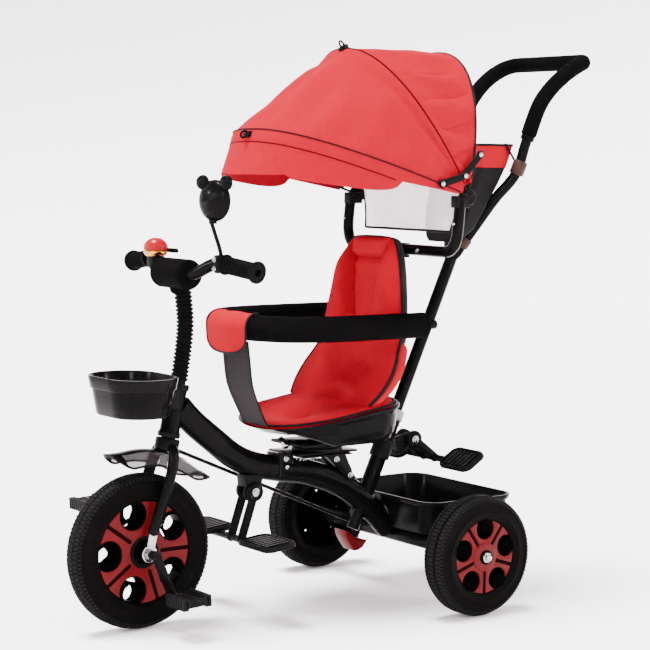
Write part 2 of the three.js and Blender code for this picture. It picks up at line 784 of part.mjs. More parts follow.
// The canopy's U-shaped frame on its post behind the seat, with a hinge block at each end.
const frameY = 7;
const frameSide = (sign) => {
  const x = sign * frameHalfWidth;
  const p = canopyPivot;
  return [
    box(22, 30, 8, x - sign * 3, 14, p.z - 12),
    box(5.5, 14, 20, sign * 146.5, p.y, p.z - 3),
    rod(v3(sign * 144, p.y, p.z), v3(sign * (stayX + 5), p.y, p.z), 3, 12),
  ];
};
add(
  "canopy_frame",
  join(
    sweep(
      [
        v3(frameHalfWidth, 12, canopyPivot.z - 12),
        v3(frameHalfWidth, frameY + 1, 645),
        v3(frameHalfWidth - 9, frameY, frameBarHeight + 10),
        v3(frameHalfWidth - 38, frameY, frameBarHeight),
        v3(0, frameY, frameBarHeight),
        v3(38 - frameHalfWidth, frameY, frameBarHeight),
        v3(9 - frameHalfWidth, frameY, frameBarHeight + 10),
        v3(-frameHalfWidth, frameY + 1, 645),
        v3(-frameHalfWidth, 12, canopyPivot.z - 12),
      ],
      ovalSection(frameTube, frameTube),
      20,
      4,
    ),
    sweep(
      [v3(0, frameY, frameBarHeight), v3(0, -8, 500), v3(0, -24, 380), v3(0, -40, 300)],
      ovalSection(8, 8),
      5,
      4,
    ),
    ...frameSide(1),
    ...frameSide(-1),
  ),
  blackPaint,
);

// ---------------------------------------------------------------- canopy
// A point on a rib: an arch in a plane through the pivot's axis, leaning forward by rib.lean.
function ribPoint(rib, s, grow = 0) {
  const lean = THREE.MathUtils.degToRad(rib.lean);
  const power = 2 / rib.fullness;
  const c = Math.cos(s);
  const x = (rib.halfWidth + grow) * Math.sign(c) * Math.pow(Math.abs(c), power);
  const d = (rib.reach + grow) * Math.pow(Math.max(0, Math.sin(s)), power);
  return v3(x, canopyPivot.y - d * Math.sin(lean), canopyPivot.z + d * Math.cos(lean));
}
const startAngle = (rib, distance) => Math.asin(Math.pow(distance / rib.reach, rib.fullness / 2));
function ribSweep(rib) {
  const first = startAngle(rib, ribStart);
  const points = Array.from({ length: 21 }, (_, i) => ribPoint(rib, first + (i / 20) * (Math.PI - 2 * first)));
  return sweep(points, ovalSection(ribRadius, ribRadius), 18, 3);
}
for (const name of ["back", "mid", "front"]) add("canopy_rib_" + name, ribSweep(ribs[name]), blackPaint);

// Fabric stretched straight between two ribs.
function panel(from, to, begin, end) {
  const face = (grow) => (t, u) => {
    const k = begin + (end - begin) * t;
    const edge = startAngle(from, 26) * (1 - k) + startAngle(to, 26) * k;
    const s = edge + u * (Math.PI - 2 * edge);
    return ribPoint(from, s, grow).lerp(ribPoint(to, s, grow), k);
  };
  return sheet(grid(2, 21, face(fabricStand + fabric)), grid(2, 21, face(fabricStand)));
}
add("canopy_back_panel", panel(ribs.back, ribs.mid, 0, 0.995), redFabric);
add("canopy_front_panel", panel(ribs.mid, ribs.front, 0.005, 1), redFabric);

const visorEdge = startAngle(ribs.front, 84);
const visorPoint = (grow) => (t, u) => {
  const s = visorEdge + u * (Math.PI - 2 * visorEdge);
  const p = ribPoint(ribs.front, s, grow);
  const lobe = Math.min(1, Math.sin(u * Math.PI) * 4);
  return v3(p.x, p.y, p.z - fabricStand - t * (18 + (visorDrop - 18) * lobe));
};
const visor = sheet(
  grid(2, 17, visorPoint(fabricStand + fabric + 2)),
  grid(2, 17, visorPoint(fabricStand + 2)),
);
add("canopy_visor", visor, redFabric);

// Mesh curtain hung from the back rib.
const curtainBottom = 640;
const curtainPoint = (offset) => (t, u) => {
  const edge = startAngle(ribs.back, 30);
  const s = edge + u * (Math.PI - 2 * edge);
  const top = ribPoint(ribs.back, s, -7);
  const low = v3(top.x * 0.82, 21, curtainBottom);
  const p = low.lerp(top, t);
  return v3(p.x, p.y + offset, p.z);
};
add("mesh_curtain", sheet(grid(2, 13, curtainPoint(1)), grid(2, 13, curtainPoint(0))), meshCloth);

// Folding stays outside the canopy, each of two links that meet at a knee.
const onRib = (rib, distance) => {
  const lean = THREE.MathUtils.degToRad(rib.lean);
  return v3(0, canopyPivot.y - distance * Math.sin(lean), canopyPivot.z + distance * Math.cos(lean));
};
const frontRivet = onRib(ribs.front, stayReach);
const backRivet = onRib(ribs.back, stayReach);
const knee = v3(0, 7, 736);
function stayLink(a, b, inner, outer, sign) {
  const link = join(
    along(new THREE.BoxGeometry(outer - inner, a.distanceTo(b), 9), a, b)
      .translate((sign * (inner + outer)) / 2, 0, 0),
    rod(a.clone().setX(sign * inner), a.clone().setX(sign * outer), 6, 12),
    rod(b.clone().setX(sign * inner), b.clone().setX(sign * outer), 6, 12),
  );
  return link;
}
for (const [side, sign] of [
  ["left", 1],
  ["right", -1],
]) {
  const short = knee.clone().lerp(frontRivet, 0.02);
  add("stay_front_" + side, stayLink(frontRivet, short, stayX + 0.5, stayX + 3, sign), blackPlastic);
  add("stay_rear_" + side, stayLink(backRivet, knee, stayX - 2.9, stayX - 0.4, sign), blackPlastic);
}

// ---------------------------------------------------------------- push handle, link and clutch
const armPoint = (p) => toPole(p);
const armLine = (side) => [
  v3(side * 10.5, 0, splitAt + 1.5),
  v3(side * 15, 0, splitAt + 14),
  v3(side * 60, 0, splitAt + 108),
  armPoint(v3(side * 80, 202, 739)),
  armPoint(v3(side * 90, 216, 795)),
  armPoint(v3(side * 97, 238, 858)),
  armPoint(v3(side * 102, 287, 912)),
  armPoint(v3(side * 100, 338, 938)),
];
const gripStart = armPoint(v3(90, 216, 795)).z;
const handleLine = [
  ...armLine(1),
  armPoint(v3(60, 352, 942)),
  armPoint(v3(-60, 352, 942)),
  ...armLine(-1).reverse(),
];
const handleSteps = 30;
const handleTube = sweep(handleLine, ovalSection(9.5, 9.5), handleSteps, 4);
const leverZ = 2;
add(
  "push_pole",
  join(
    rod(v3(0, 0, 0), v3(0, 0, splitAt), poleRadius, 16),
    box(-linkX, 18, 4, linkX / 2, linkY / 2, leverZ),
    rod(v3(linkX, linkY, leverZ - 2), v3(linkX, linkY, leverZ + 2), 9, 12),
  ),
  blackPaint,
  pole,
);
add("push_handle", handleTube, blackPaint, pole);
const foamTube = sweep(handleLine, ovalSection(14, 14, 10.4), handleSteps, 4);
add("handle_foam", cut(foamTube, box(400, 400, gripStart * 2, 0, 0, 0)), blackFoam, pole);

// Bag between the handle's arms.
const bagTop = 790;
const bagBottom = 618;
function bagLoop(z, halfWidth, front, rear) {
  return [
    v3(-halfWidth, rear, z),
    v3(-halfWidth, front + 14, z),
    v3(-halfWidth * 0.7, front, z),
    v3(halfWidth * 0.7, front, z),
    v3(halfWidth, front + 14, z),
    v3(halfWidth, rear, z),
  ].reverse();
}
const bag = lofted(
  [
    bagLoop(bagBottom, 8, 100, 114),
    bagLoop(700, 36, 122, 156),
    bagLoop(bagTop, 66, 146, 200),
    bagLoop(bagTop, 64, 148, 198),
    bagLoop(706, 33, 126, 154),
    bagLoop(640, 12, 108, 126),
  ].map((loop) => loop.slice().reverse()),
);
const bagGroup = new THREE.Group();
bagGroup.matrixAutoUpdate = false;
bagGroup.matrix.copy(pole.matrix.clone().invert());
pole.add(bagGroup);
add("storage_bag", bag, blackFabric, bagGroup);

// Steering link between the fork's arm and the pole's lever.
const linkFront = steeringToModel(v3(linkX, linkY, armZ - 9));
const linkRear = poleToModel(v3(linkX, linkY, leverZ + 12));
add(
  "steering_link",
  join(
    rod(linkFront, linkRear, 3.2, 10),
    rod(linkFront.clone().add(v3(0, 0, -3)), linkFront.clone().add(v3(0, 0, 3)), 8, 12),
    rod(linkRear.clone().add(v3(0, 0, -3)), linkRear.clone().add(v3(0, 0, 3)), 7, 12),
  ),
  blackPaint,
);

// Red clutch lever under the pole's foot.
const clutchShape = new THREE.Shape([
  new THREE.Vector2(-26, 0),
  new THREE.Vector2(-20, -9),
  new THREE.Vector2(8, -27),
  new THREE.Vector2(24, -15),
  new THREE.Vector2(28, 0),
]);
add(
  "clutch_lever",
  plate(clutchShape, 34).rotateX(Math.PI / 2).rotateZ(Math.PI / 2).translate(-17, 0, -9),
  redPlastic,
  pole,
).rotation.x = poleAngle;

// ---------------------------------------------------------------- footrests and the swivel lock
const treadX = 92;
function footrest(hinge, drop, reach, width, depth, tilt) {
  const end = v3(0, reach, -drop);
  const top = hinge.clone();
  const foot = hinge.clone().add(end);
  const tread = (sign) => {
    const slab = plate(roundedRect(width, depth, 16), 11, 3).translate(0, 0, -5.5);
    const slot = (y) => box(width - 30, 6, 6, 0, y, 5.5);
    return cut(slab, slot(-depth / 5), slot(depth / 5))
      .rotateX(tilt)
      .translate(sign * treadX, foot.y, foot.z + 9);
  };
  const bore = rod(top.clone().setX(-20), top.clone().setX(20), 4 + 0.6, 12);
  return cut(
    join(
      rod(top.clone().setX(-6.5), top.clone().setX(6.5), 13, 18),
      along(new THREE.BoxGeometry(13, top.distanceTo(foot), 14), top, foot),
      rod(foot.clone().setX(-treadX - 20), foot.clone().setX(treadX + 20), 6, 10),
      tread(1),
      tread(-1),
    ),
    bore,
  );
}
add("front_footrest", footrest(frontHinge, 78, -26, 96, 62, frontTreadTilt), blackPlastic);
add("rear_footrest", footrest(rearHinge, 36, 48, 82, 54, rearTreadTilt), blackPlastic);
const lockFace = swivelY - 55;
add(
  "swivel_lock",
  join(
    rod(v3(0, lockFace - clear, carrierTop + 11), v3(0, lockFace - 10, carrierTop + 11), 3, 8),
    rod(v3(0, lockFace - 10, carrierTop + 11), v3(0, lockFace - 17, carrierTop + 11), 6.5, 12),
  ),
  steel,
);

// The part's origin: on the floor, under the middle of its bounding box.
tricycle.updateMatrixWorld(true);
const bounds = new THREE.Box3().setFromObject(tricycle, true);
model.position.y = -(bounds.min.y + bounds.max.y) / 2;

export default tricycle;
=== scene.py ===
"""Children's tricycle: the looks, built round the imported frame."""
import json
import math

import bmesh
import bpy
from mathutils import Matrix, Vector, noise


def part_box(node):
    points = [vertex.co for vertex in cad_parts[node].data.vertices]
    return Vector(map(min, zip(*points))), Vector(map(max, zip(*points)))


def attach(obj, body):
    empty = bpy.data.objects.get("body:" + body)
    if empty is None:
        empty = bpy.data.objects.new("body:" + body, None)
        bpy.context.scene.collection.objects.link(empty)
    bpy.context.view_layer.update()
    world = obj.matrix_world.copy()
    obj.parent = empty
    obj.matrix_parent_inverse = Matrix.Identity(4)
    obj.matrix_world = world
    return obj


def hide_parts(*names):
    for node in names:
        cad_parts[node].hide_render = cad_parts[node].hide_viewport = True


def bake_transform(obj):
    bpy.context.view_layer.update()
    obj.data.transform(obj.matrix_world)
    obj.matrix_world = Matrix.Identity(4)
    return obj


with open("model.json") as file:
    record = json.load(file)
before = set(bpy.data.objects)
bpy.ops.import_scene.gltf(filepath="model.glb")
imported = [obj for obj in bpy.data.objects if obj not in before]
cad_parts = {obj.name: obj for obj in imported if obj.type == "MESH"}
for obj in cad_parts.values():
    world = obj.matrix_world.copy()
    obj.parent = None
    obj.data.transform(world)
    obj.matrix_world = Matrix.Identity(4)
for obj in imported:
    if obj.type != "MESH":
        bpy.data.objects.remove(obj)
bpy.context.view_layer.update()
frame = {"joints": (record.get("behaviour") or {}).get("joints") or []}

JOINTS = {joint["name"]: joint for joint in frame["joints"]}
MM = 0.001
TAU = 2 * math.pi


def pivot(name):
    return Vector(JOINTS[name]["pos_m"])


AXLE = pivot("left_rear_wheel_spin")  # the rear axle's line is the plan's y = 0


def at(x, y, z):
    """A place in millimetres from the middle plane, the rear axle and the floor."""
    return Vector((x * MM, y * MM + AXLE.y, z * MM))


def tilted(joint):
    """The frame of a raked axis: millimetres across it, behind it and up along it."""
    origin = pivot(joint)
    up = Vector(JOINTS[joint]["axis"]).normalized()
    back = Vector((0, up.z, -up.y))
    return lambda x, y, z: origin + Vector((x * MM, 0, 0)) + back * (y * MM) + up * (z * MM)


on_head = tilted("steering_turn")
on_pole = tilted("push_handle_turn")
HEAD_UP = on_head(0, 0, 1000) - on_head(0, 0, 0)
POLE_UP = on_pole(0, 0, 1000) - on_pole(0, 0, 0)

# ---------------------------------------------------------------- camera, floor and light
VIEW_ROLL = math.radians(0.725)
camera_place = at(2624.5, -2056.2, 757.2)
camera_target = at(0, -154, 478)
look = (camera_target - camera_place).normalized()
across = look.cross(Vector((0, 0, 1))).normalized()
upward = across.cross(look)
across, upward = (across * math.cos(VIEW_ROLL) + upward * math.sin(VIEW_ROLL),
                  upward * math.cos(VIEW_ROLL) - across * math.sin(VIEW_ROLL))
lens = bpy.data.cameras.new("studio_camera")
lens.lens = 105.19
lens.sensor_width = 36
lens.clip_end = 60
camera = bpy.data.objects.new("studio_camera", lens)
camera.matrix_world = Matrix.Translation(camera_place) @ Matrix((across, upward, -look)).transposed().to_4x4()
bpy.context.scene.collection.objects.link(camera)
bpy.context.scene.camera = camera


def soft_light(name, place, target, size, power, tint=(1, 1, 1)):
    data = bpy.data.lights.new(name, "AREA")
    data.shape = "DISK"
    data.size = size
    data.energy = power
    data.color = tint
    light = bpy.data.objects.new(name, data)
    light.location = place
    light.rotation_mode = "QUATERNION"
    light.rotation_quaternion = (Vector(target) - Vector(place)).to_track_quat("-Z", "Y")
    bpy.context.scene.collection.objects.link(light)


sun = bpy.data.lights.new("overhead_light", "SUN")
sun.energy = 15
sun.angle = math.radians(24)
sun.color = (1, 0.985, 0.98)
overhead = bpy.data.objects.new("overhead_light", sun)
overhead.rotation_mode = "QUATERNION"
overhead.rotation_quaternion = Vector((0.12, 0.2, -0.97)).to_track_quat("-Z", "Y")
bpy.context.scene.collection.objects.link(overhead)
soft_light("near_softbox", (2.0, -2.6, 2.2), (0, 0, 0.5), 0.3, 60)
soft_light("front_softbox", (-1.4, -2.8, 1.6), (0, 0, 0.5), 0.25, 45)
soft_light("rear_softbox", (2.4, 1.8, 1.9), (0, 0, 0.6), 0.25, 45)
world = bpy.data.worlds.new("studio_air")
bpy.context.scene.world = world
world.use_nodes = True
world.node_tree.nodes["Background"].inputs["Color"].default_value = (1.0, 0.985, 0.99, 1)
world.node_tree.nodes["Background"].inputs["Strength"].default_value = 1.0


# ---------------------------------------------------------------- finishes
ROUGHNESS_DRIFT = 0.12


def link_in(tree, kind, inputs=None, **settings):
    """A shader or geometry node with its settings, and its inputs as values or links."""
    node = tree.nodes.new(kind)
    for key, value in settings.items():
        setattr(node, key, value)
    for key, value in (inputs or {}).items():
        if isinstance(value, bpy.types.NodeSocket):
            tree.links.new(value, node.inputs[key])
        else:
            node.inputs[key].default_value = value
    return node


def finish(name, colour, roughness, metal=0.0, mottle=0.10, mottle_size=0.05, grain=0.0, grain_size=0.0008,
           wrinkle=0.0, wrinkle_size=0.03, weave=0.0, weave_size=0.0011, edge_wear=0.0, alpha=1.0, gloss=0.5):
    """A finish on Object coordinates: colour drift, grain or weave, soft wrinkles and worn edges."""
    material = bpy.data.materials.new(name)
    material.use_nodes = True
    tree = material.node_tree
    shader = tree.nodes["Principled BSDF"]
    place = link_in(tree, "ShaderNodeTexCoord").outputs["Object"]
    clouds = link_in(tree, "ShaderNodeTexNoise", {"Vector": place, "Scale": 1 / mottle_size, "Detail": 4.0})
    dark = [c * (1 - mottle) for c in colour] + [1]
    light = [min(1, c * (1 + mottle) + mottle * 0.004) for c in colour] + [1]
    tone = link_in(tree, "ShaderNodeMix", data_type="RGBA")
    tree.links.new(clouds.outputs["Fac"], tone.inputs["Factor"])
    tone.inputs["A"].default_value = dark
    tone.inputs["B"].default_value = light
    surface_colour = tone.outputs["Result"]
    fine = link_in(tree, "ShaderNodeTexNoise", {"Vector": place, "Scale": 1 / max(grain_size, 1e-5),
                                                "Detail": 3.0})
    rough = link_in(tree, "ShaderNodeMapRange", {"Value": clouds.outputs["Fac"],
                                                 "To Min": max(0.02, roughness * (1 - ROUGHNESS_DRIFT)),
                                                 "To Max": min(1.0, roughness * (1 + ROUGHNESS_DRIFT))})
    if edge_wear:
        ridge = link_in(tree, "ShaderNodeNewGeometry").outputs["Pointiness"]
        worn = link_in(tree, "ShaderNodeMapRange", {"Value": ridge, "From Min": 0.52, "From Max": 0.62,
                                                    "To Min": 0.0, "To Max": edge_wear})
        rubbed = link_in(tree, "ShaderNodeMix", data_type="RGBA")
        tree.links.new(worn.outputs["Result"], rubbed.inputs["Factor"])
        tree.links.new(surface_colour, rubbed.inputs["A"])
        rubbed.inputs["B"].default_value = [min(1, c * 1.6 + 0.05) for c in colour] + [1]
        surface_colour = rubbed.outputs["Result"]
    tree.links.new(surface_colour, shader.inputs["Base Color"])
    tree.links.new(rough.outputs["Result"], shader.inputs["Roughness"])
    normal = None
    if wrinkle:
        folds = link_in(tree, "ShaderNodeTexNoise", {"Vector": place, "Scale": 1 / wrinkle_size,
                                                     "Detail": 2.0,
                                                     "Distortion": 0.6})
        normal = link_in(tree, "ShaderNodeBump", {"Height": folds.outputs["Fac"], "Strength": 1.0,
                                                  "Distance": wrinkle}).outputs["Normal"]
    if weave:
        threads = []
        for direction in "XYZ":
            threads.append(link_in(tree, "ShaderNodeTexWave", {"Vector": place, "Scale": 0.314 / weave_size,
                                                               "Distortion": 0.3, "Detail": 1.0},
                                   bands_direction=direction).outputs["Fac"])
        crossed = link_in(tree, "ShaderNodeMath", {0: threads[0], 1: threads[1]},
                          operation="MULTIPLY").outputs[0]
        crossed = link_in(tree, "ShaderNodeMath", {0: crossed, 1: threads[2]}, operation="ADD").outputs[0]
        inputs = {"Height": crossed, "Strength": 0.9, "Distance": weave}
        if normal:
            inputs["Normal"] = normal
        normal = link_in(tree, "ShaderNodeBump", inputs).outputs["Normal"]
    if grain:
        inputs = {"Height": fine.outputs["Fac"], "Strength": 0.8, "Distance": grain}
        if normal:
            inputs["Normal"] = normal
        normal = link_in(tree, "ShaderNodeBump", inputs).outputs["Normal"]
    if normal:
        tree.links.new(normal, shader.inputs["Normal"])
    shader.inputs["Metallic"].default_value = metal
    shader.inputs["Specular IOR Level"].default_value = gloss
    shader.inputs["Alpha"].default_value = alpha
    return material


black_paint = finish("black_paint", (0.0016, 0.0015, 0.0016), 0.16, grain=0.00002, grain_size=0.002,
                     edge_wear=0.06, gloss=0.025)
black_gloss = finish("black_gloss_plastic", (0.0016, 0.0015, 0.0016), 0.2, grain=0.00003, grain_size=0.0016,
                     edge_wear=0.08,
                     gloss=0.022)
black_plastic = finish("black_moulded_plastic", (0.0017, 0.0016, 0.0017), 0.4, grain=0.00012,
                       grain_size=0.0011, edge_wear=0.1,
                       gloss=0.02)
# Near-black core with no gloss: the hub barrel seen through the wheel windows, and painted shade on the rear
# wheels' inner sides.
core_black_and_shade = finish("wheel_core_black", (0.0006, 0.0006, 0.0006), 0.9, grain=0.0001, gloss=0.0)
black_foam = finish("black_foam", (0.0014, 0.0013, 0.0015), 0.88, grain=0.0005, grain_size=0.0016,
                    wrinkle=0.0006,
                    wrinkle_size=0.012, gloss=0.01)
grip_rubber = finish("grip_rubber", (0.0012, 0.0012, 0.0012), 0.5, grain=0.0001, grain_size=0.001, gloss=0.02)
tyre_rubber = finish("tyre_rubber", (0.0011, 0.0010, 0.0009), 0.7, mottle=0.25, grain=0.00015,
                     grain_size=0.0012,
                     edge_wear=0.1, gloss=0.012)
tyre_side = finish("tyre_sidewall", (0.0009, 0.0008, 0.0007), 0.5, mottle=0.2, grain=0.00006,
                   grain_size=0.0011, gloss=0.012)
red_plastic = finish("red_wheel_plastic", (0.062, 0.0002, 0.0012), 0.35, mottle=0.12, grain=0.00006,
                     grain_size=0.001,
                     edge_wear=0.1, gloss=0.07)
# Near-black red for the groove floors: painted shade at the bottom of the spoke grooves.
red_groove_shade = finish("red_groove_plastic", (0.005, 0.0001, 0.0002), 0.7, grain=0.00006, grain_size=0.001,
                  gloss=0.01)
red_canopy = finish("red_canopy_cloth", (0.23, 0.0, 0.008), 0.8, mottle=0.05, mottle_size=0.08, weave=0.00012,
                    wrinkle=0.003, wrinkle_size=0.05, gloss=0.03)
red_seat = finish("red_seat_cloth", (0.25, 0.0, 0.007), 0.8, mottle=0.06, mottle_size=0.05, weave=0.00014,
                  wrinkle=0.001, wrinkle_size=0.02, gloss=0.03)
red_bell = finish("red_bell_paint", (0.20, 0.0005, 0.003), 0.25, grain=0.00001, gloss=0.12)
piping = finish("black_piping", (0.0028, 0.0022, 0.0026), 0.7, weave=0.00008, weave_size=0.0009, gloss=0.08)
black_cloth = finish("black_bag_cloth", (0.003, 0.0028, 0.003), 0.8, weave=0.00014, wrinkle=0.0014,
                     wrinkle_size=0.02,
                     gloss=0.08)
webbing = finish("grey_webbing", (0.011, 0.0085, 0.0105), 0.85, weave=0.0002, weave_size=0.0018,
                 wrinkle=0.0008, gloss=0.1)
steel = finish("bright_steel", (0.30, 0.30, 0.31), 0.22, metal=1.0, mottle=0.05, grain=0.00001)
silver = finish("silver_collar", (0.16, 0.16, 0.165), 0.42, metal=0.5, grain=0.00002)
gold = finish("gold_bell_base", (0.46, 0.2, 0.03), 0.25, metal=1.0, mottle=0.08)
brown = finish("brown_collar", (0.02, 0.006, 0.003), 0.5, grain=0.0001, gloss=0.15)
smoky = finish("smoky_mudguard", (0.018, 0.014, 0.016), 0.14, mottle=0.3, mottle_size=0.04, alpha=0.6,
               gloss=0.3)
mirror_glass = finish("mirror_glass", (0.5, 0.52, 0.54), 0.03, metal=1.0, mottle=0.01)
floor_paper = finish("studio_paper", (0.93, 0.895, 0.9), 0.9, mottle=0.006, mottle_size=0.8, gloss=0.1)


def curtain_net():
    """White net: threads with open holes between them, by the cloth's own coordinates."""
    material = bpy.data.materials.new("white_net")
    material.use_nodes = True
    tree = material.node_tree
    shader = tree.nodes["Principled BSDF"]
    place = link_in(tree, "ShaderNodeTexCoord").outputs["UV"]
    turned_place = link_in(tree, "ShaderNodeMapping", {"Vector": place, "Rotation": (0, 0, math.pi / 4),
                                                       "Scale": (420, 420, 1)}).outputs["Vector"]
    cells = link_in(tree, "ShaderNodeTexVoronoi", {"Vector": turned_place, "Scale": 1.0, "Randomness": 0.12},
                    voronoi_dimensions="2D", feature="DISTANCE_TO_EDGE").outputs["Distance"]
    thread = link_in(tree, "ShaderNodeMapRange", {"Value": cells, "From Min": 0.17, "From Max": 0.27,
                                                  "To Min": 0.85, "To Max": 0.08}).outputs["Result"]
    drift = link_in(tree, "ShaderNodeTexNoise", {"Vector": place, "Scale": 20.0})
    tone = link_in(tree, "ShaderNodeMix", data_type="RGBA")
    tree.links.new(drift.outputs["Fac"], tone.inputs["Factor"])
    tone.inputs["A"].default_value = (0.88, 0.87, 0.88, 1)
    tone.inputs["B"].default_value = (0.95, 0.94, 0.95, 1)
    tree.links.new(tone.outputs["Result"], shader.inputs["Base Color"])
    tree.links.new(thread, shader.inputs["Alpha"])
    shader.inputs["Roughness"].default_value = 0.8
    return material


net = curtain_net()
line_dark = finish("dark_red_seam", (0.02, 0.0005, 0.001), 0.7, weave=0.00006, gloss=0.05)


# ---------------------------------------------------------------- shapes: (points, faces) in metres
def weld(*shapes):
    points, faces = [], []
    for some_points, some_faces in shapes:
        start = len(points)
        points += some_points
        faces += [tuple(start + i for i in face) for face in some_faces]
    return points, faces


def loft(rings, caps=True, closed=True):
    """A skin through matching rings of points, with flat ends."""
    count = len(rings[0])
    points = [Vector(p) for ring in rings for p in ring]
    faces = []
    for i in range(len(rings) - 1):
        for j in range(count if closed else count - 1):
            k = (j + 1) % count
            faces.append((i * count + j, i * count + k, (i + 1) * count + k, (i + 1) * count + j))
    if caps:
        last = (len(rings) - 1) * count
        faces.append(tuple(reversed(range(count))))
        faces.append(tuple(last + j for j in range(count)))
    return points, faces


def smooth_path(points, count):
    """Catmull-Rom through the points, with evenly spaced places along it."""
    ends = [points[0] * 2 - points[1]] + list(points) + [points[-1] * 2 - points[-2]]
    dense = []
    for i in range(1, len(ends) - 2):
        a, b, c, d = ends[i - 1:i + 3]
        for k in range(16):
            t = k / 16
            tangent_b = (c - a) * 0.5
            tangent_c = (d - b) * 0.5
            dense.append(b * (2 * t**3 - 3 * t**2 + 1) + tangent_b * (t**3 - 2 * t**2 + t)
                         + c * (3 * t**2 - 2 * t**3) + tangent_c * (t**3 - t**2))
    dense.append(points[-1].copy())
    lengths = [0.0]
    for a, b in zip(dense, dense[1:]):
        lengths.append(lengths[-1] + (b - a).length)
    out, i = [], 0
    for k in range(count):
        want = lengths[-1] * k / (count - 1)
        while i < len(dense) - 2 and lengths[i + 1] < want:
            i += 1
        share = (want - lengths[i]) / max(lengths[i + 1] - lengths[i], 1e-9)
        out.append(dense[i].lerp(dense[i + 1], min(1, share)))
    return out


def frames_along(path, side=None):
    """Across and up directions at each place, carried along without twist."""
    tangents = []
    for i in range(len(path)):
        tangents.append((path[min(i + 1, len(path) - 1)] - path[max(i - 1, 0)]).normalized())
    first = side or (Vector((0, 0, 1)) if abs(tangents[0].z) < 0.8 else Vector((1, 0, 0)))
    across_now = (first - tangents[0] * first.dot(tangents[0])).normalized()
    out = []
    for tangent in tangents:
        across_now = (across_now - tangent * across_now.dot(tangent)).normalized()
        out.append((across_now.copy(), tangent.cross(across_now)))
    return out


def tube(path, radius, sides=24, side=None, caps=True, oval=1.0, dome=False):
    """A round or oval bar along a path; radius in millimetres, or one for each place."""
    radii = radius if isinstance(radius, (list, tuple)) else [radius] * len(path)
    path = list(path)
    frames = frames_along(path, side)
    if dome:
        radii = list(radii)
        for end, step in ((0, 1), (-1, -1)):
            a, b = path[end], path[end + step]
            away = (a - b).normalized()
            r = radii[end]
            caps_places = [a + away * (r * MM * math.sin(q)) for q in (0.35, 0.8, 1.25)]
            caps_radii = [r * math.cos(q) for q in (0.35, 0.8, 1.25)]
            extra = [frames[end]] * 3
            if end == 0:
                path, radii, frames = caps_places[::-1] + path, caps_radii[::-1] + radii, extra + frames
            else:
                path, radii, frames = path + caps_places, radii + caps_radii, frames + extra
    rings = []
    for place, r, (u, v) in zip(path, radii, frames):
        rings.append([place + u * (r * MM * math.cos(TAU * k / sides)) + v
                      * (r * oval * MM * math.sin(TAU * k / sides))
                      for k in range(sides)])
    return loft(rings, caps)


def rod(a, b, radius, sides=24):
    return tube([a, a.lerp(b, 0.5), b], radius, sides)


def turned(profile, base, axis, sides=40, whole=False):
    """A profile of (radius, height) turned about an axis; whole closes the profile on itself."""
    axis = axis.normalized()
    u = axis.orthogonal().normalized()
    v = axis.cross(u)
    if whole:
        profile = list(profile) + [profile[0]]
    rings = []
    for r, h in profile:
        r = max(r, 0.01)
        rings.append([base + axis * (h * MM) + (u * math.cos(TAU * k / sides) + v
                                                * math.sin(TAU * k / sides)) * (r * MM)
                      for k in range(sides)])
    return loft(rings, caps=not whole)


def block(middle, size, turn=None):
    """A box of the given widths in millimetres, turned by a matrix."""
    w, d, h = (s * MM / 2 for s in size)
    turn = turn or Matrix.Identity(3)
    corners = [(-w, -d, -h), (w, -d, -h), (w, d, -h), (-w, d, -h), (-w, -d, h), (w, -d, h), (w, d, h),
               (-w, d, h)]
    faces = [(3, 2, 1, 0), (4, 5, 6, 7), (0, 1, 5, 4), (1, 2, 6, 5), (2, 3, 7, 6), (3, 0, 4, 7)]
    return [middle + turn @ Vector(c) for c in corners], faces


def slab(outline, thickness, place=None):
    """A flat outline in millimetres given a thickness, laid by a matrix."""
    place = place or Matrix.Identity(4)
    low = [place @ Vector((x * MM, y * MM, 0)) for x, y in outline]
    high = [place @ Vector((x * MM, y * MM, thickness * MM)) for x, y in outline]
    return loft([low, high])


def rounded(width, depth, corner, steps=6):
    out = []
    for k, (sx, sy) in enumerate(((1, 1), (-1, 1), (-1, -1), (1, -1))):
        for i in range(steps + 1):
            a = (k + i / steps) * math.pi / 2
            out.append((sx * (width / 2 - corner) + corner * math.cos(a), sy * (depth / 2 - corner) + corner
                        * math.sin(a)))
    return out


def skin(rows, columns, place):
    """An open sheet of points place(t, u), rows along t and columns along u."""
    points = [place(i / (rows - 1), j / (columns - 1)) for i in range(rows) for j in range(columns)]
    faces = [(i * columns + j, i * columns + j + 1, (i + 1) * columns + j + 1, (i + 1) * columns + j)
             for i in range(rows - 1) for j in range(columns - 1)]
    return points, faces


def shade(thing, angle):
    """Smooth faces, with edges sharper than the angle kept."""
    thing.data.polygons.foreach_set("use_smooth", [True] * len(thing.data.polygons))
    thing.data.set_sharp_from_angle(angle=math.radians(angle))
    return thing


def rework(mesh, change):
    """Runs a mesh edit on a plain mesh."""
    work = bmesh.new()
    work.from_mesh(mesh)
    change(work)
    work.to_mesh(mesh)
    work.free()


def face_outwards(work):
    bmesh.ops.recalc_face_normals(work, faces=work.faces)


def settle(thing):
    """Makes the modifiers' result the piece's own plain mesh."""
    depsgraph = bpy.context.evaluated_depsgraph_get()
    made = bpy.data.meshes.new_from_object(thing.evaluated_get(depsgraph))
    old = thing.data
    thing.modifiers.clear()
    thing.data = made
    bpy.data.meshes.remove(old)
    return thing


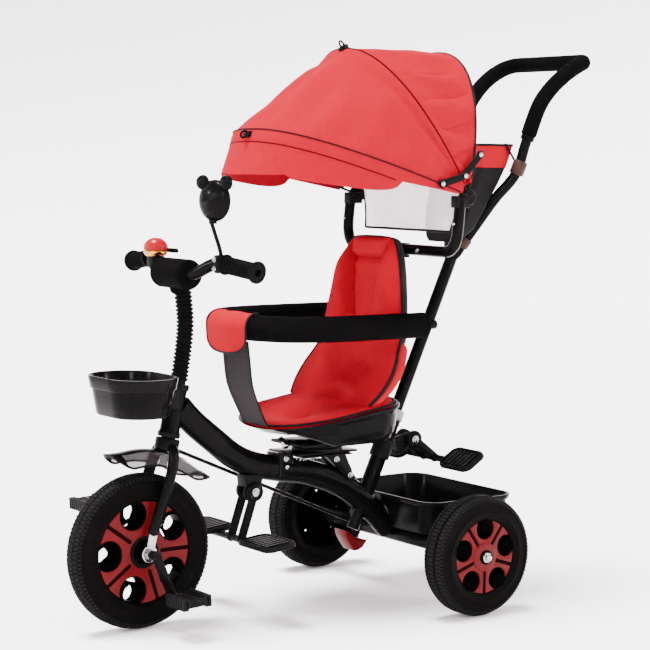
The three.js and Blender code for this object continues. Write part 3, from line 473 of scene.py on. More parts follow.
def piece(name, shape, material, bevel=0.0, smooth=35, subdivide=0, thick=0.0, offset=0.0, doubles=1e-6,
          outward=True):
    """A finished mesh in its place, with rounded edges, thickness and smooth faces as asked."""
    mesh = bpy.data.meshes.new(name)
    mesh.from_pydata([tuple(p) for p in shape[0]], [], shape[1])
    rework(mesh, lambda work: bmesh.ops.remove_doubles(work, verts=work.verts, dist=doubles))
    if outward:
        rework(mesh, face_outwards)
    thing = bpy.data.objects.new(name, mesh)
    bpy.context.scene.collection.objects.link(thing)
    mesh.materials.append(material)
    if thick:
        solid = thing.modifiers.new("wall", "SOLIDIFY")
        solid.thickness = thick * MM
        solid.offset = offset
    if bevel:
        edge = thing.modifiers.new("edge", "BEVEL")
        edge.width = bevel * MM
        edge.segments = 2
        edge.limit_method = "ANGLE"
        edge.angle_limit = math.radians(35)
    if subdivide:
        curve = thing.modifiers.new("round", "SUBSURF")
        curve.levels = curve.render_levels = subdivide
    if thing.modifiers:
        settle(thing)
    return shade(thing, smooth)


def on(thing, body, *nodes, slot=None):
    """Rides on a body and stands for CAD nodes, which it hides; the slot argument is not used."""
    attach(thing, body)
    if nodes:
        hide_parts(*nodes)
    return thing


# ---------------------------------------------------------------- repeats, by geometry nodes
def tree_with(name, sockets):
    tree = bpy.data.node_groups.new(name, "GeometryNodeTree")
    for label, kind in sockets:
        tree.interface.new_socket(name=label, in_out="INPUT", socket_type="NodeSocket" + kind)
    tree.interface.new_socket(name="Geometry", in_out="OUTPUT", socket_type="NodeSocketGeometry")
    return tree, tree.nodes.new("NodeGroupInput").outputs, tree.nodes.new("NodeGroupOutput").inputs


def repeat_tree():
    """Copies of a piece round an axis or along a row."""
    tree, given, out = tree_with("repeat_round_or_along", (
        ("Geometry", "Geometry"), ("Count", "Int"), ("Centre", "Vector"), ("Step", "Vector"),
        ("Turn", "Vector"),
        ("Finish", "Material")))
    row = link_in(tree, "GeometryNodeMeshLine", {"Count": given["Count"], "Start Location": given["Centre"],
                                                 "Offset": given["Step"]}, mode="OFFSET").outputs["Mesh"]
    index = link_in(tree, "GeometryNodeInputIndex").outputs["Index"]
    turn = link_in(tree, "ShaderNodeVectorMath", {0: given["Turn"], "Scale": index},
                   operation="SCALE").outputs["Vector"]
    copies = link_in(tree, "GeometryNodeInstanceOnPoints", {"Points": row, "Instance": given["Geometry"],
                                                            "Rotation": turn}).outputs["Instances"]
    real = link_in(tree, "GeometryNodeRealizeInstances", {"Geometry": copies}).outputs["Geometry"]
    painted = link_in(tree, "GeometryNodeSetMaterial", {"Geometry": real, "Material": given["Finish"]})
    tree.links.new(painted.outputs["Geometry"], out["Geometry"])
    return tree


def rings_tree():
    """Rings set along a path at an even spacing."""
    tree, given, out = tree_with("rings_along_a_path", (
        ("Geometry", "Geometry"), ("Spacing", "Float"), ("Size", "Float"), ("Wire", "Float"),
        ("Finish", "Material")))
    curve = link_in(tree, "GeometryNodeMeshToCurve", {"Mesh": given["Geometry"]}).outputs["Curve"]
    places = link_in(tree, "GeometryNodeCurveToPoints", {"Curve": curve, "Length": given["Spacing"]},
                     mode="LENGTH")
    hoop = link_in(tree, "GeometryNodeCurvePrimitiveCircle", {"Resolution": 32, "Radius": given["Size"]})
    section = link_in(tree, "GeometryNodeCurvePrimitiveCircle", {"Resolution": 8, "Radius": given["Wire"]})
    shape = link_in(tree, "GeometryNodeCurveToMesh", {"Curve": hoop.outputs["Curve"],
                                                      "Profile Curve": section.outputs["Curve"]}).outputs["Mesh"]
    copies = link_in(tree, "GeometryNodeInstanceOnPoints", {"Points": places.outputs["Points"],
                                                            "Instance": shape,
                                                            "Rotation": places.outputs["Rotation"]})
    real = link_in(tree, "GeometryNodeRealizeInstances", {"Geometry": copies.outputs["Instances"]})
    painted = link_in(tree, "GeometryNodeSetMaterial", {"Geometry": real.outputs["Geometry"],
                                                        "Material": given["Finish"]})
    tree.links.new(painted.outputs["Geometry"], out["Geometry"])
    return tree


repeat_copies = repeat_tree()
rings_along = rings_tree()


def by_nodes(name, shape, tree, material, smooth=35, **values):
    """Runs a tree on a small mesh or a path and keeps the plain result."""
    mesh = bpy.data.meshes.new(name)
    points, faces = shape
    edges = [] if faces else [(i, i + 1) for i in range(len(points) - 1)]
    mesh.from_pydata([tuple(p) for p in points], edges, faces)
    mesh.materials.append(material)
    thing = bpy.data.objects.new(name, mesh)
    bpy.context.scene.collection.objects.link(thing)
    modifier = thing.modifiers.new("repeat", "NODES")
    modifier.node_group = tree
    values["Finish"] = material
    for item in tree.interface.items_tree:
        if item.in_out == "INPUT" and item.name.replace(" ", "_") in values:
            modifier[item.identifier] = values[item.name.replace(" ", "_")]
    settle(thing)
    return shade(thing, smooth)


# ---------------------------------------------------------------- floor
bowl = [(6500 * i / 8, 0) for i in range(1, 9)] + [(6500 + 3500 * math.sin(a), 3500 * (1 - math.cos(a)))
                                                   for a in (0.2, 0.4, 0.6, 0.8, 1.0, 1.2, 1.4,
                                                             1.57)] + [(10000, 7000)]
floor = piece("studio_floor", turned(bowl, Vector((0, 0, -0.0005)), Vector((0, 0, 1)), 96), floor_paper,
              outward=False)
rework(floor.data, lambda work: bmesh.ops.delete(work, context="FACES", geom=[
    face for face in work.faces if len(face.verts) > 4 and face.calc_center_median().z > 3]))


# ---------------------------------------------------------------- small parts and cuts
FORWARD = Vector((0, -1, 0))
UP = Vector((0, 0, 1))
LEFT = Vector((1, 0, 0))


def hexed(place, axis, radius, height):
    """A bolt head or nut on its washer."""
    washer = turned([(0, 0), (radius * 1.3, 0), (radius * 1.3, 1), (0, 1)], place, axis, 24)
    head = turned([(0, 0.9), (radius, 0.9), (radius, height * 0.85), (radius * 0.86, height), (0, height)],
                  place, axis, 6)
    dimple = turned([(0, height - 0.2), (radius * 0.45, height - 0.2), (radius * 0.35, height + 1.6),
                     (0, height + 1.8)],
                    place, axis, 20)
    return weld(washer, head, dimple)


def cut(thing, *shapes):
    """Takes shapes out of a piece."""
    for shape in shapes:
        tool = piece("cutter", shape, black_plastic)
        step = thing.modifiers.new("cut", "BOOLEAN")
        step.operation = "DIFFERENCE"
        step.solver = "EXACT"
        step.object = tool
        settle(thing)
        left_over = tool.data
        bpy.data.objects.remove(tool)
        bpy.data.meshes.remove(left_over)
    return shade(thing, 35)


def pairs(shape_at):
    """The same shape on both sides."""
    return weld(shape_at(1), shape_at(-1))


def capsule(ax, ay, bx, by, radius, steps=8):
    """The outline of a bar with round ends between two places on a plane."""
    heading = math.atan2(by - ay, bx - ax)
    out = []
    for x, y, start in ((bx, by, heading - math.pi / 2), (ax, ay, heading + math.pi / 2)):
        out += [(x + radius * math.cos(start + math.pi * k / steps),
                 y + radius * math.sin(start + math.pi * k / steps))
                for k in range(steps + 1)]
    return out


def on_side(x):
    """Lays a plan drawn in (y, z) on the plane at that x, in millimetres."""
    return Matrix(((0, 0, 1, x * MM), (1, 0, 0, AXLE.y), (0, 1, 0, 0), (0, 0, 0, 1)))


# ---------------------------------------------------------------- frame
main_line = smooth_path([at(0, y, z) for y, z in ((-446, 356), (-418, 328), (-382, 299), (-340, 267),
                                                  (-300, 249),
                                                  (-245, 237), (-184, 225), (-110, 195), (-50, 150),
                                                  (-10, 112))], 44)
main_tube = tube(main_line, 18.5, 28, side=LEFT, oval=22 / 18.5)
on(piece("main_tube_body", main_tube, black_paint, bevel=1), "frame", "main_tube")
head = turned([(12.4, -0.5), (17.6, -0.5), (18.8, 1.5), (18.8, 7), (17.2, 9), (16.4, 11), (16.4, 76),
               (17.2, 78), (18.8, 80),
               (18.8, 86), (17.6, 88.5), (12.4, 88.5)], on_head(0, 0, 0), HEAD_UP, 40, whole=True)
on(piece("head_tube_body", head, black_paint), "frame", "head_tube")
on(piece("rear_cross_bar", rod(at(-197, 0, 102), at(197, 0, 102), 13, 32), black_paint, bevel=1.2), "frame",
   "rear_cross_tube")
axle_nuts = weld(rod(at(-262, 0, 102), at(262, 0, 102), 5.8, 20),
                 pairs(lambda s: hexed(at(252 * s, 0, 102), LEFT * s, 9.6, 7)),
                 pairs(lambda s: turned([(0, 7), (6, 7), (6, 10), (4.5, 12), (0, 12)], at(252 * s, 0, 102),
                                        LEFT * s, 24)))
on(piece("rear_axle_with_nuts", axle_nuts, steel, bevel=0.4), "frame", "rear_axle")
sleeve = turned([(11.6, 24), (14.3, 24), (14.4, 26), (14.4, 196), (15.4, 198), (15.4, 203), (14.4, 205),
                 (14.4, 219), (11.6, 221)],
                on_pole(0, 0, 0), POLE_UP, 36, whole=True)
on(piece("pole_sleeve_body", sleeve, black_paint), "frame", "pole_sleeve")
ring = turned([(11.7, 205.5), (16, 205.5), (16.9, 207), (16.9, 222), (16, 223.5), (11.7, 223.5)],
              on_pole(0, 0, 0), POLE_UP, 40,
              whole=True)
on(piece("sleeve_silver_ring", ring, silver), "frame")
button = turned([(0, 0), (4.6, 0), (4.6, 3), (3.2, 4.6), (0, 5)], on_pole(0, 14, 186),
                on_pole(0, 100, 0) - on_pole(0, 0, 0), 20)
on(piece("sleeve_spring_button", button, steel), "frame")
gusset = [(-122, 263), (-101, 227), (-92, 190), (-106, 190), (-122, 226), (-150, 250), (-152, 263)]
carrier = weld(block(at(0, -176, 264), (84, 128, 4)), block(at(0, -242, 248), (30, 30, 34)),
               turned([(0, 1), (43.5, 1), (44, 2), (44, 6.4), (43, 7), (0, 7)], at(0, -168, 264), UP, 48),
               slab(gusset, 24, on_side(-12)), block(at(0, -256, 246), (40, 5, 40)))
on(piece("seat_carrier_body", carrier, black_gloss, bevel=1.2), "frame", "seat_carrier", slot="black_paint")
grey_plate = weld(block(at(0, -176, 260), (92, 100, 3)),
                  slab([(-158, 258), (-120, 258), (-96, 206), (-112, 206)], 3, on_side(14)),
                  slab([(-158, 258), (-120, 258), (-96, 206), (-112, 206)], 3, on_side(-17)))
on(piece("carrier_side_plates", grey_plate, black_paint, bevel=0.8), "frame")
plate_bolts = weld(*[hexed(at(17 * s, y, z), LEFT * s, 4.2, 4) for s in (1, -1) for y,
                     z in ((-138, 246), (-108, 216))],
                   *[hexed(at(15 * s, -242, z), LEFT * s, 4, 4) for s in (1, -1) for z in (242, 256)])
on(piece("carrier_bolts", plate_bolts, steel, bevel=0.3), "frame")
coil = [at(24 + 5 * math.cos(a), -228 + a * 1.1, 257 + 5 * math.sin(a))
        for a in (k * TAU / 12 for k in range(73))]
on(piece("lock_spring", tube(coil, 0.9, 8), steel), "frame")


def lug(name, y, z, radius, block_shape, node):
    """Two discs and a bolt that a footrest hinges on."""
    discs = pairs(lambda s: turned([(0, 7.5), (radius - 1, 7.5), (radius, 8.5), (radius, 12),
                                    (radius - 1, 13), (0, 13)],
                                   at(0, y, z), LEFT * s, 40))
    on(piece(name, weld(discs, *block_shape), black_plastic, bevel=0.6), "frame", node)
    ends = pairs(lambda s: hexed(at(13 * s, y, z), LEFT * s, 6, 4))
    on(piece(name + "_bolt", weld(rod(at(-13, y, z), at(13, y, z), 4), ends), steel, bevel=0.3), "frame")


lug("front_footrest_clamp", -306, 205, 18, [slab([(-322, 214), (-290, 214), (-288, 232), (-324, 234)], 26,
                                                 on_side(-13))],
    "front_footrest_lug")
lug("rear_footrest_clamp", 33, 268, 15, [slab([(4, 272), (30, 280), (36, 258), (4, 246)], 12, on_side(-6)),
                                         turned([(14.2, 134), (18, 134), (18, 166), (14.2, 166)],
                                                on_pole(0, 0, 0), POLE_UP, 36,
                                                whole=True)], "rear_footrest_lug")


# ---------------------------------------------------------------- baskets
def tub(width, depth, height, corner, taper, lip, x, y, z, wall=2.6):
    """A tapered tub with a turned-down lip and round corners."""
    path = [(0, -9), (0.6, -3), (3, 0), (height * 0.5, 0), (height - lip - 0.8, 0), (height - lip, 2.4),
            (height - lip + 1, 3),
            (height - 1.6, 3), (height, 1.4), (height, -1), (height - 1.6, 1 - wall), (height * 0.5, -wall),
            (6, -wall),
            (wall + 0.6, -wall - 3), (wall, -wall - 8)]
    rings = []
    for h, grow in path:
        shrink = 1 - taper * (1 - h / height)
        rings.append([at(x + px * shrink, y + py * shrink, z + h)
                      for px, py in rounded(width + 2 * grow, depth + 2 * grow, corner + grow, 18)])
    return loft(rings)


grown_main = tube(main_line + [main_line[-1] + (main_line[-1] - main_line[-2]) * 3], 20, 28, side=LEFT,
                  oval=23.6 / 20)
front_basket = piece("front_basket_tub", tub(160, 116, 64, 56, 0.16, 20, 0, -532, 348), black_gloss,
                     smooth=50)
on(front_basket, "frame", "front_basket")
rear_basket = piece("rear_basket_tub", tub(280, 196, 62, 34, 0.12, 8, 0, 68, 115.4), black_gloss, smooth=50)
cut(rear_basket, grown_main)
on(rear_basket, "frame", "rear_basket")
basket_ribs = by_nodes("rear_basket_floor_ribs", block(Vector((0, 0, 0)), (3, 140, 2)), repeat_copies,
                       black_gloss,
                       Count=9, Centre=at(-88, 72, 119), Step=Vector((22 * MM, 0, 0)))
on(basket_ribs, "frame")
strut = weld(block(at(0, -462, 372), (34, 16, 34)), block(at(0, -470, 356), (24, 22, 12)),
             rod(at(0, -452, 318), at(0, -486, 352), 5, 16))
on(piece("front_basket_bracket", strut, black_gloss, bevel=2), "frame")


# ---------------------------------------------------------------- wheels
def wheel_star(x, hub_y, hub_z, rim, middle, window, first, face):
    """Five spokes left between five round windows, as one closed outline of a given thickness."""
    gap = math.acos((rim * rim + middle * middle - window * window) / (2 * rim * middle))
    turn = math.pi - math.acos((window * window + middle * middle - rim * rim) / (2 * window * middle))
    outline = []
    for k in range(5):
        spoke = math.radians(first + 72 * k)
        open_at = spoke + math.radians(36)
        for i in range(9):
            a = spoke - math.radians(36) + gap + (math.radians(72) - 2 * gap) * i / 8
            outline.append((hub_y + rim * math.cos(a), hub_z + rim * math.sin(a)))
        cy, cz = hub_y + middle * math.cos(open_at), hub_z + middle * math.sin(open_at)
        for i in range(1, 28):
            a = open_at - turn - (TAU - 2 * turn) * i / 28
            outline.append((cy + window * math.cos(a), cz + window * math.sin(a)))
    return slab(outline, face, on_side(x))


def wheel(side_name, bodies, x, y, z, radius, half, rim, middle, window, first, tyre_node, rim_node, hub,
          blocks, groove):
    """One wheel: core, red faces with grooves, tyre with a ringed side and tread blocks. The front wheel is red
    on both sides and the rear wheels only on their outer side: their inner side is the near-black core as
    painted shade, and the groove floors are a dark red as painted shade.
    """
    hub_at = at(x, y, z)
    core = weld(wheel_star(x - half + 5, y, z, rim, middle + 2, window - 0.3, first, 2 * half - 10),
                rod(at(x - half - 2, y, z), at(x + half + 2, y, z), hub * 0.8, 32),
                turned([(middle - 6, -half + 8), (rim, -half + 8), (rim, half - 8), (middle - 6, half - 8),
                        (middle - 14, 0)],
                       hub_at, LEFT, 72, whole=True))
    core_piece = piece(side_name + "_core", core, core_black_and_shade)
    cut(core_piece, weld(*[rod(at(x - half, y + (middle + 5) * math.cos(a), z + (middle + 5) * math.sin(a)),
                               at(x + half, y + (middle + 3) * math.cos(a), z + (middle + 5) * math.sin(a)),
                               window * 0.58, 32)
                           for a in (math.radians(first + 36 + 72 * k) for k in range(5))]))
    on(core_piece, bodies)
    faces, grooves, slots = [], [], []
    # Rear wheels get a red face on their outer side only; their inner side shows the black core as painted
    # shade.
    red_sides = (1, -1) if x == 0 else (math.copysign(1, x),)
    for s in red_sides:
        inner = x + s * (half - 7) + (0 if s > 0 else -4)
        faces.append(wheel_star(inner, y, z, rim, middle, window, first, 4))
        for k in range(5):
            a = math.radians(first + 72 * k)
            far, near = rim - 4, groove[0]
            line = (y + near * math.cos(a), z + near * math.sin(a), y + far * math.cos(a),
                    z + far * math.sin(a))
            outer = x + s * (half - 3)
            # Thin dark-red floors laid in the grooves paint the shade at their bottoms.
            grooves.append(slab(capsule(*line, groove[1] - 0.2), 1.2,
                                on_side(outer - 1.6 if s > 0 else outer + 0.4)))
    red = piece(side_name + "_red_faces", weld(*faces), red_plastic, bevel=1.1)
    for s in red_sides:
        for k in range(5):
            a = math.radians(first + 72 * k)
            line = (y + groove[0] * math.cos(a), z + groove[0] * math.sin(a), y + (rim + 3) * math.cos(a),
                    z + (rim + 3) * math.sin(a))
            slots.append(slab(capsule(*line, groove[1]), 6,
                              on_side(x + s * (half - 3) - (2.4 if s > 0 else 3.6))))
    cut(red, weld(*slots))
    on(red, bodies, rim_node)
    on(piece(side_name + "_grooves", weld(*grooves), red_groove_shade), bodies)
    deep = radius - rim
    profile = [(rim - 0.5, -half + 6), (rim + 0.5, -half + 3.4), (rim + deep * 0.10, -half + 1.2),
               (rim + deep * 0.28, -half + 0.3),
               (rim + deep * 0.33, -half - 0.6), (rim + deep * 0.36, -half + 0.2), (rim + deep * 0.55, -half),
               (rim + deep * 0.70, -half + 0.9), (rim + deep * 0.735, -half + 0.3),
               (rim + deep * 0.77, -half + 1.6),
               (radius - 6, -half + 4), (radius - 3.2, -half + 7.5), (radius - 2.2, -half + 12),
               (radius - 2, -3)]
    profile = profile + [(r, -w) for r, w in reversed(profile)]
    tyre = piece(side_name + "_tyre_body", turned(profile, hub_at, LEFT, 144, whole=True), tyre_side,
                 smooth=50)
    on(tyre, bodies, tyre_node)
    step = math.tau / blocks
    across_wide = radius * step
    treads = [("centre", (half * 0.62, across_wide * 0.7, 2.6), 0, radius - 1.9, 0.0, 0.0),
              ("left_row", (8.4, across_wide * 0.66, 3.0), half - 8.2, radius - 4.2, 0.5, 0.42),
              ("right_row", (8.4, across_wide * 0.66, 3.0), -half + 8.2, radius - 4.2, 0.5, -0.42),
              ("left_shoulder", (6.0, across_wide * 0.5, 2.8), half - 3.5, radius - 8.9, 0.0, 1.02),
              ("right_shoulder", (6.0, across_wide * 0.5, 2.8), -half + 3.5, radius - 8.9, 0.0, -1.02)]
    for row, size, offset, lift, phase, lean in treads:
        lean_turn = Matrix.Rotation(lean, 3, "Y")
        spin = Matrix.Rotation(phase * step, 3, "X")
        knob = block(Vector((offset * MM, 0, lift * MM)), size, lean_turn)
        knob = ([spin @ p for p in knob[0]], knob[1])
        made = by_nodes(side_name + "_tread_" + row, knob, repeat_copies, tyre_rubber, Count=blocks,
                        Centre=hub_at,
                        Turn=Vector((step, 0, 0)))
        on(made, bodies)


wheel("front_wheel", "front_wheel", 0, -520, 127, 127, 20.5, 82.5, 65, 25, 0, "front_tyre", "front_rim", 24,
      108, (33, 3.5))
for side, s in (("left", 1), ("right", -1)):
    wheel(side + "_rear_wheel", side + "_rear_wheel", 230 * s, 0, 102, 102, 24, 61.2, 48, 18.5, 270,
          "rear_tyre_" + side, "rear_rim_" + side, 15, 90, (25, 3.2))
    cap = turned([(9.6, 21), (11.5, 21), (11.5, 23.6), (10.6, 24.4), (9.6, 24.4)], at(230 * s, 0, 102),
                 LEFT * s, 36, whole=True)
    on(piece(side + "_hub_ring", cap, black_gloss), side + "_rear_wheel")
    dome = turned([(0, 20), (25, 20), (24, 22), (18, 23), (0, 23.4)], at(230 * s, 0, 102), LEFT * s, 48)
    boss = piece(side + "_hub_disc", dome, red_plastic, bevel=0.4)
    cut(boss, rod(at(205 * s, 0, 102), at(262 * s, 0, 102), 9.8, 36))
    on(boss, side + "_rear_wheel")
drum = pairs(lambda s: turned([(0, 0), (28, 0), (28, 15.6), (26.5, 17.8), (17, 18.4), (15, 21), (8, 23),
                               (0, 23)],
                              at(0, -520, 127), LEFT * s, 48))
on(piece("front_hub_drum", drum, black_plastic), "front_wheel")

# ---------------------------------------------------------------- cranks and pedals
CRANK = math.radians(24)
arm_y, arm_z = 70 * math.sin(CRANK), -70 * math.cos(CRANK)
crank_shapes = [rod(at(-58, -520, 127), at(58, -520, 127), 6.6, 28)]
for s in (1, -1):
    end_y, end_z = -520 + s * arm_y, 127 + s * arm_z
    crank_shapes.append(slab(capsule(-520, 127, end_y, end_z, 7.2), 7, on_side(55 * s - 3.5)))
    crank_shapes.append(turned([(0, 0), (8.6, 0), (8.6, 6), (7.4, 7), (0, 7)], at(53 * s, -520, 127),
                               LEFT * s, 32))
    crank_shapes.append(rod(at(55 * s, end_y, end_z), at(139 * s, end_y, end_z), 4.4, 20))
on(piece("crank_with_arms", weld(*crank_shapes), black_paint, bevel=1.2), "front_wheel", "crank_axle")
for side, s in (("left", 1), ("right", -1)):
    py, pz = -520 + s * arm_y, 127 + s * arm_z
    px = 108 * s
    pedal_turn = Matrix.Translation(at(px, py, pz)) @ Matrix.Rotation(math.radians(4), 4, "X")

    def tipped(x, y, z):
        return pedal_turn @ Vector((x * MM, y * MM, z * MM))
    tip_turn = pedal_turn.to_3x3()
    body_shapes = [rod(tipped(-26, 0, 0), tipped(26, 0, 0), 7.6, 24),
                   block(tipped(0, 21, 0), (54, 9, 17), tip_turn),
                   block(tipped(0, -21, 0), (54, 9, 17), tip_turn),
                   block(tipped(24, 0, 0), (6, 44, 13), tip_turn),
                   block(tipped(-24, 0, 0), (6, 44, 13), tip_turn)]
    pedal = piece(side + "_pedal_frame", weld(*body_shapes), black_plastic, bevel=1.6)
    on(pedal, side + "_pedal", "pedal_" + side)
    for label, y_row in (("front", -21), ("rear", 21)):
        teeth = by_nodes(side + "_pedal_" + label + "_teeth", block(Vector((0, 0, 0)), (3.2, 10.4, 18.6),
                                                                    tip_turn), repeat_copies,
                         black_plastic, Count=8, Centre=tipped(-24.5, y_row, 0), Step=Vector((7 * MM, 0, 0)))
        on(teeth, side + "_pedal")
    webs = by_nodes(side + "_pedal_webs", block(Vector((0, 0, 0)), (3, 40, 11), tip_turn), repeat_copies,
                    black_plastic,
                    Count=4, Centre=tipped(-15, 0, 0), Step=Vector((10 * MM, 0, 0)))
    on(webs, side + "_pedal")
    on(piece(side + "_pedal_cap", turned([(0, 25), (5.6, 25), (5.6, 29), (4, 32), (0, 32.5)], at(px, py, pz),
                                         LEFT * s, 24),
             black_plastic), side + "_pedal")

# ---------------------------------------------------------------- fork and mudguard
front_axle = pivot("front_wheel_spin")
origin = on_head(0, 0, 0)
axle_back = (front_axle - origin).dot((on_head(0, 1000, 0) - origin)) * 1000
axle_up = (front_axle - origin).dot(HEAD_UP) * 1000
legs = []
for s in (1, -1):
    legs.append(smooth_path([on_head(s * 8, 2, -13), on_head(s * 25, 0, -22), on_head(s * 33, -2, -50),
                             on_head(s * 33.4, axle_back + 7, -110),
                             on_head(s * 33, axle_back, axle_up + 36)], 40))
fork_shapes = [turned([(0, -23), (18, -23), (20, -21), (20, -3.4), (18.6, -1.6), (0, -1.6)], origin, HEAD_UP,
                      40),
               rod(on_head(0, 0, -8), on_head(0, 0, 101), 11.8, 28)]
fork_shapes += [tube(leg, 7.2, 24, side=LEFT, oval=1.36, dome=True) for leg in legs]
link_arm = slab([(-9, -6), (-32, 10), (-36, 20), (-26, 24), (-14, 14), (6, 8)], 5,
                Matrix.Translation(on_head(0, 0, -12)) @ Matrix.Rotation(-math.radians(12), 4, "X"))
fork_shapes.append(link_arm)
fork = piece("fork_legs_and_crown", weld(*fork_shapes), black_paint, bevel=1)
on(fork, "steering", "fork")
plates = []
for s in (1, -1):
    plate = capsule(-520, 127, -520 + 10.5, 127 + 45, 7.4)
    plates.append(slab(plate, 3.4, on_side(33 * s - 1.7)))
    plates.append(turned([(7.8, -2.6), (13.4, -2.6), (14, -1.6), (14, 2.2), (13, 3.2), (7.8, 3.2)],
                         at(33 * s, -520, 127), LEFT * s, 40,
                         whole=True))
    plates.append(turned([(7.8, 3), (9.6, 3), (9.6, 9), (7.8, 9)], at(33 * s, -520, 127), LEFT * s, 6,
                         whole=True))
on(piece("fork_dropouts", weld(*plates), steel, bevel=0.5), "steering")
spacer = pairs(lambda s: turned([(0, 42.6), (7.6, 42.6), (7.6, 52), (0, 52)], at(0, -520, 127), LEFT * s, 28))
on(piece("crank_spacers", spacer, black_plastic, bevel=0.6), "front_wheel")


def guard_point(angle, v, lift=0.0):
    """A point on the mudguard's arch over the front wheel; v runs -1..1 across it."""
    flare = 7 * max(0, (angle - 98) / 12) ** 2 + 5 * max(0, (54 - angle) / 12) ** 2
    reach = 164 - 22 * abs(v) ** 2.4 + lift + flare
    a = math.radians(angle)
    return at(31 * v, -520 + reach * math.cos(a), 127 + reach * math.sin(a))


def tip_width(t, tip_low, tip_high, least=0.05):
    """The share of the arch's width left at a place along it, round towards its ends."""
    if tip_low and t < tip_low:
        return math.sqrt(max(least, 1 - (1 - t / tip_low) ** 2))
    if tip_high and t > 1 - tip_high:
        return math.sqrt(max(least, 1 - ((t - 1 + tip_high) / tip_high) ** 2))
    return 1.0


def guard_skin(low, high, inner, outer, lift, tip_low=0.0, tip_high=0.0, rows=40):
    """A stretch of the arch; the tips round off towards their ends."""
    def place(t, u):
        v = (inner + (outer - inner) * u) * tip_width(t, tip_low, tip_high)
        return guard_point(low + (high - low) * t, v, lift)
    return skin(rows, 21, place)


clear_legs = [tube(leg, 9, 20, side=LEFT, oval=1.3) for leg in legs]
mudguard = piece("mudguard_arch", guard_skin(40, 111, -1, 1, 0, 0.22, 0.16, 60), smoky, thick=1.8)
cut(mudguard, *clear_legs)
on(mudguard, "steering", "mudguard")
edge_steps = [k / 60 for k in range(61)]
edge_loop = [guard_point(40 + 71 * t, tip_width(t, 0.22, 0.16, 0.0)) for t in edge_steps]
edge_loop += [guard_point(40 + 71 * t, -tip_width(t, 0.22, 0.16, 0.0)) for t in reversed(edge_steps[1:-1])]
dark_edge = piece("mudguard_dark_edge", tube(edge_loop + edge_loop[:2], 1.9, 8, caps=False), black_gloss)
cut(dark_edge, *clear_legs)
on(dark_edge, "steering", slot="smoky_plastic")
band = piece("mudguard_dark_band", guard_skin(58, 109, -0.42, 0.42, 0.9, 0.2, 0.2), black_gloss, thick=0.8,
             offset=1)
on(band, "steering", slot="smoky_plastic")
for label, low, high, tips in (("rear", 40, 46, (2.6, 0)), ("front", 104, 111, (0, 1.4))):
    tip = piece("mudguard_" + label + "_tip", guard_skin(low, high, -1.01, 1.01, 0.2, *tips), black_gloss,
                thick=2.6)
    on(tip, "steering", slot="smoky_plastic")

# ---------------------------------------------------------------- stem, handlebar, bell and mirror
stem_line = smooth_path([on_head(0, 0, 96), at(0, -437, 460), at(0, -435, 498), at(0, -440, 548)], 60)
on(piece("bellows_core", tube(stem_line, 12, 28), grip_rubber, bevel=0.5), "steering", "stem_bellows")
rings = by_nodes("bellows_rings", (stem_line, []), rings_along, grip_rubber, Spacing=6.4 * MM, Size=12.2 * MM,
                 Wire=2.5 * MM)
on(rings, "steering")
neck = smooth_path([at(0, -440.5, 546), at(0, -446, 560), at(0, -451, 572)], 8)
foam = weld(tube(smooth_path([at(-44, -453, 574), at(0, -453, 574), at(44, -453, 574)], 16), 24.5, 36),
            tube(neck, [18.4, 18.8, 19, 19, 19, 19, 19, 19], 32))
on(piece("stem_foam_cover", foam, black_foam, bevel=5), "steering", "stem_foam")


def bar_side(s):
    return [at(s * 50, -452, 575), at(s * 100, -434, 595), at(s * 184, -422, 585)]


bar = smooth_path(bar_side(-1)[::-1] + [at(0, -453, 574)] + bar_side(1), 72)
on(piece("handlebar_tube", tube(bar, 10, 24), black_paint, bevel=1), "steering", "handlebar")
for side, s in (("left", 1), ("right", -1)):
    shoulder, end = at(s * 100, -434, 595), at(s * 184, -422, 585)
    heading = (end - shoulder).normalized()
    start = shoulder.lerp(end, 0.16)
    stop = end + heading * (7 * MM)
    length = (stop - start).length / MM
    profile = [(10.2, 0), (15.6, 0), (16.6, 1.2), (16.6, 3.4), (15.4, 4.6), (12.9, 6.2), (12.9, length * 0.5),
               (12.9, length - 6.4),
               (15.8, length - 5.2), (17.8, length - 4), (17.8, length - 1.2), (16.6, length), (7, length),
               (5.5, length - 1.6),
               (5.5, length - 14), (0, length - 14)]
    grip = piece(side + "_grip_body", turned([(0, 0)] + profile, start, heading, 40), grip_rubber)
    on(grip, "steering", "grip_" + side)
    ribs = by_nodes(side + "_grip_ribs", ([start + heading * (9 * MM), start + heading * ((length - 8) * MM)],
                                          []), rings_along,
                    grip_rubber, Spacing=4.4 * MM, Size=13.0 * MM, Wire=1.15 * MM)
    on(ribs, "steering")

bell_at = at(-72, -448, 600)
cap = turned([(0, 8), (18.2, 8), (20, 9.5), (20.4, 13), (19.2, 18), (15.8, 23), (10.5, 26.8), (4.6, 28.6),
              (0, 29)], bell_at, UP, 48)
on(piece("bell_cap", cap, red_bell), "steering", "bell")
base = turned([(0, -2), (14, -2), (17, -0.5), (19.6, 3), (20, 6.4), (18.6, 8.4), (0, 8.4)], bell_at, UP, 48)
on(piece("bell_base", base, gold), "steering")
foot = weld(block(at(-72, -448, 590), (18, 24, 18)), turned([(10.2, -9), (14, -9), (14, 9), (10.2, 9)],
                                                            at(-72, -445, 584),
                                                             Vector((0.94, -0.34, -0.36)), 32, whole=True))
on(piece("bell_bracket", foot, black_plastic, bevel=1.4), "steering")
box_low, box_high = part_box("bell_lever")
lever_mid = (box_low + box_high) / 2
thumb = block(lever_mid, tuple(v / MM for v in (box_high - box_low)))
on(piece("bell_thumb_tab", thumb, black_plastic, bevel=2.4, subdivide=1), "bell_thumb_lever", "bell_lever")

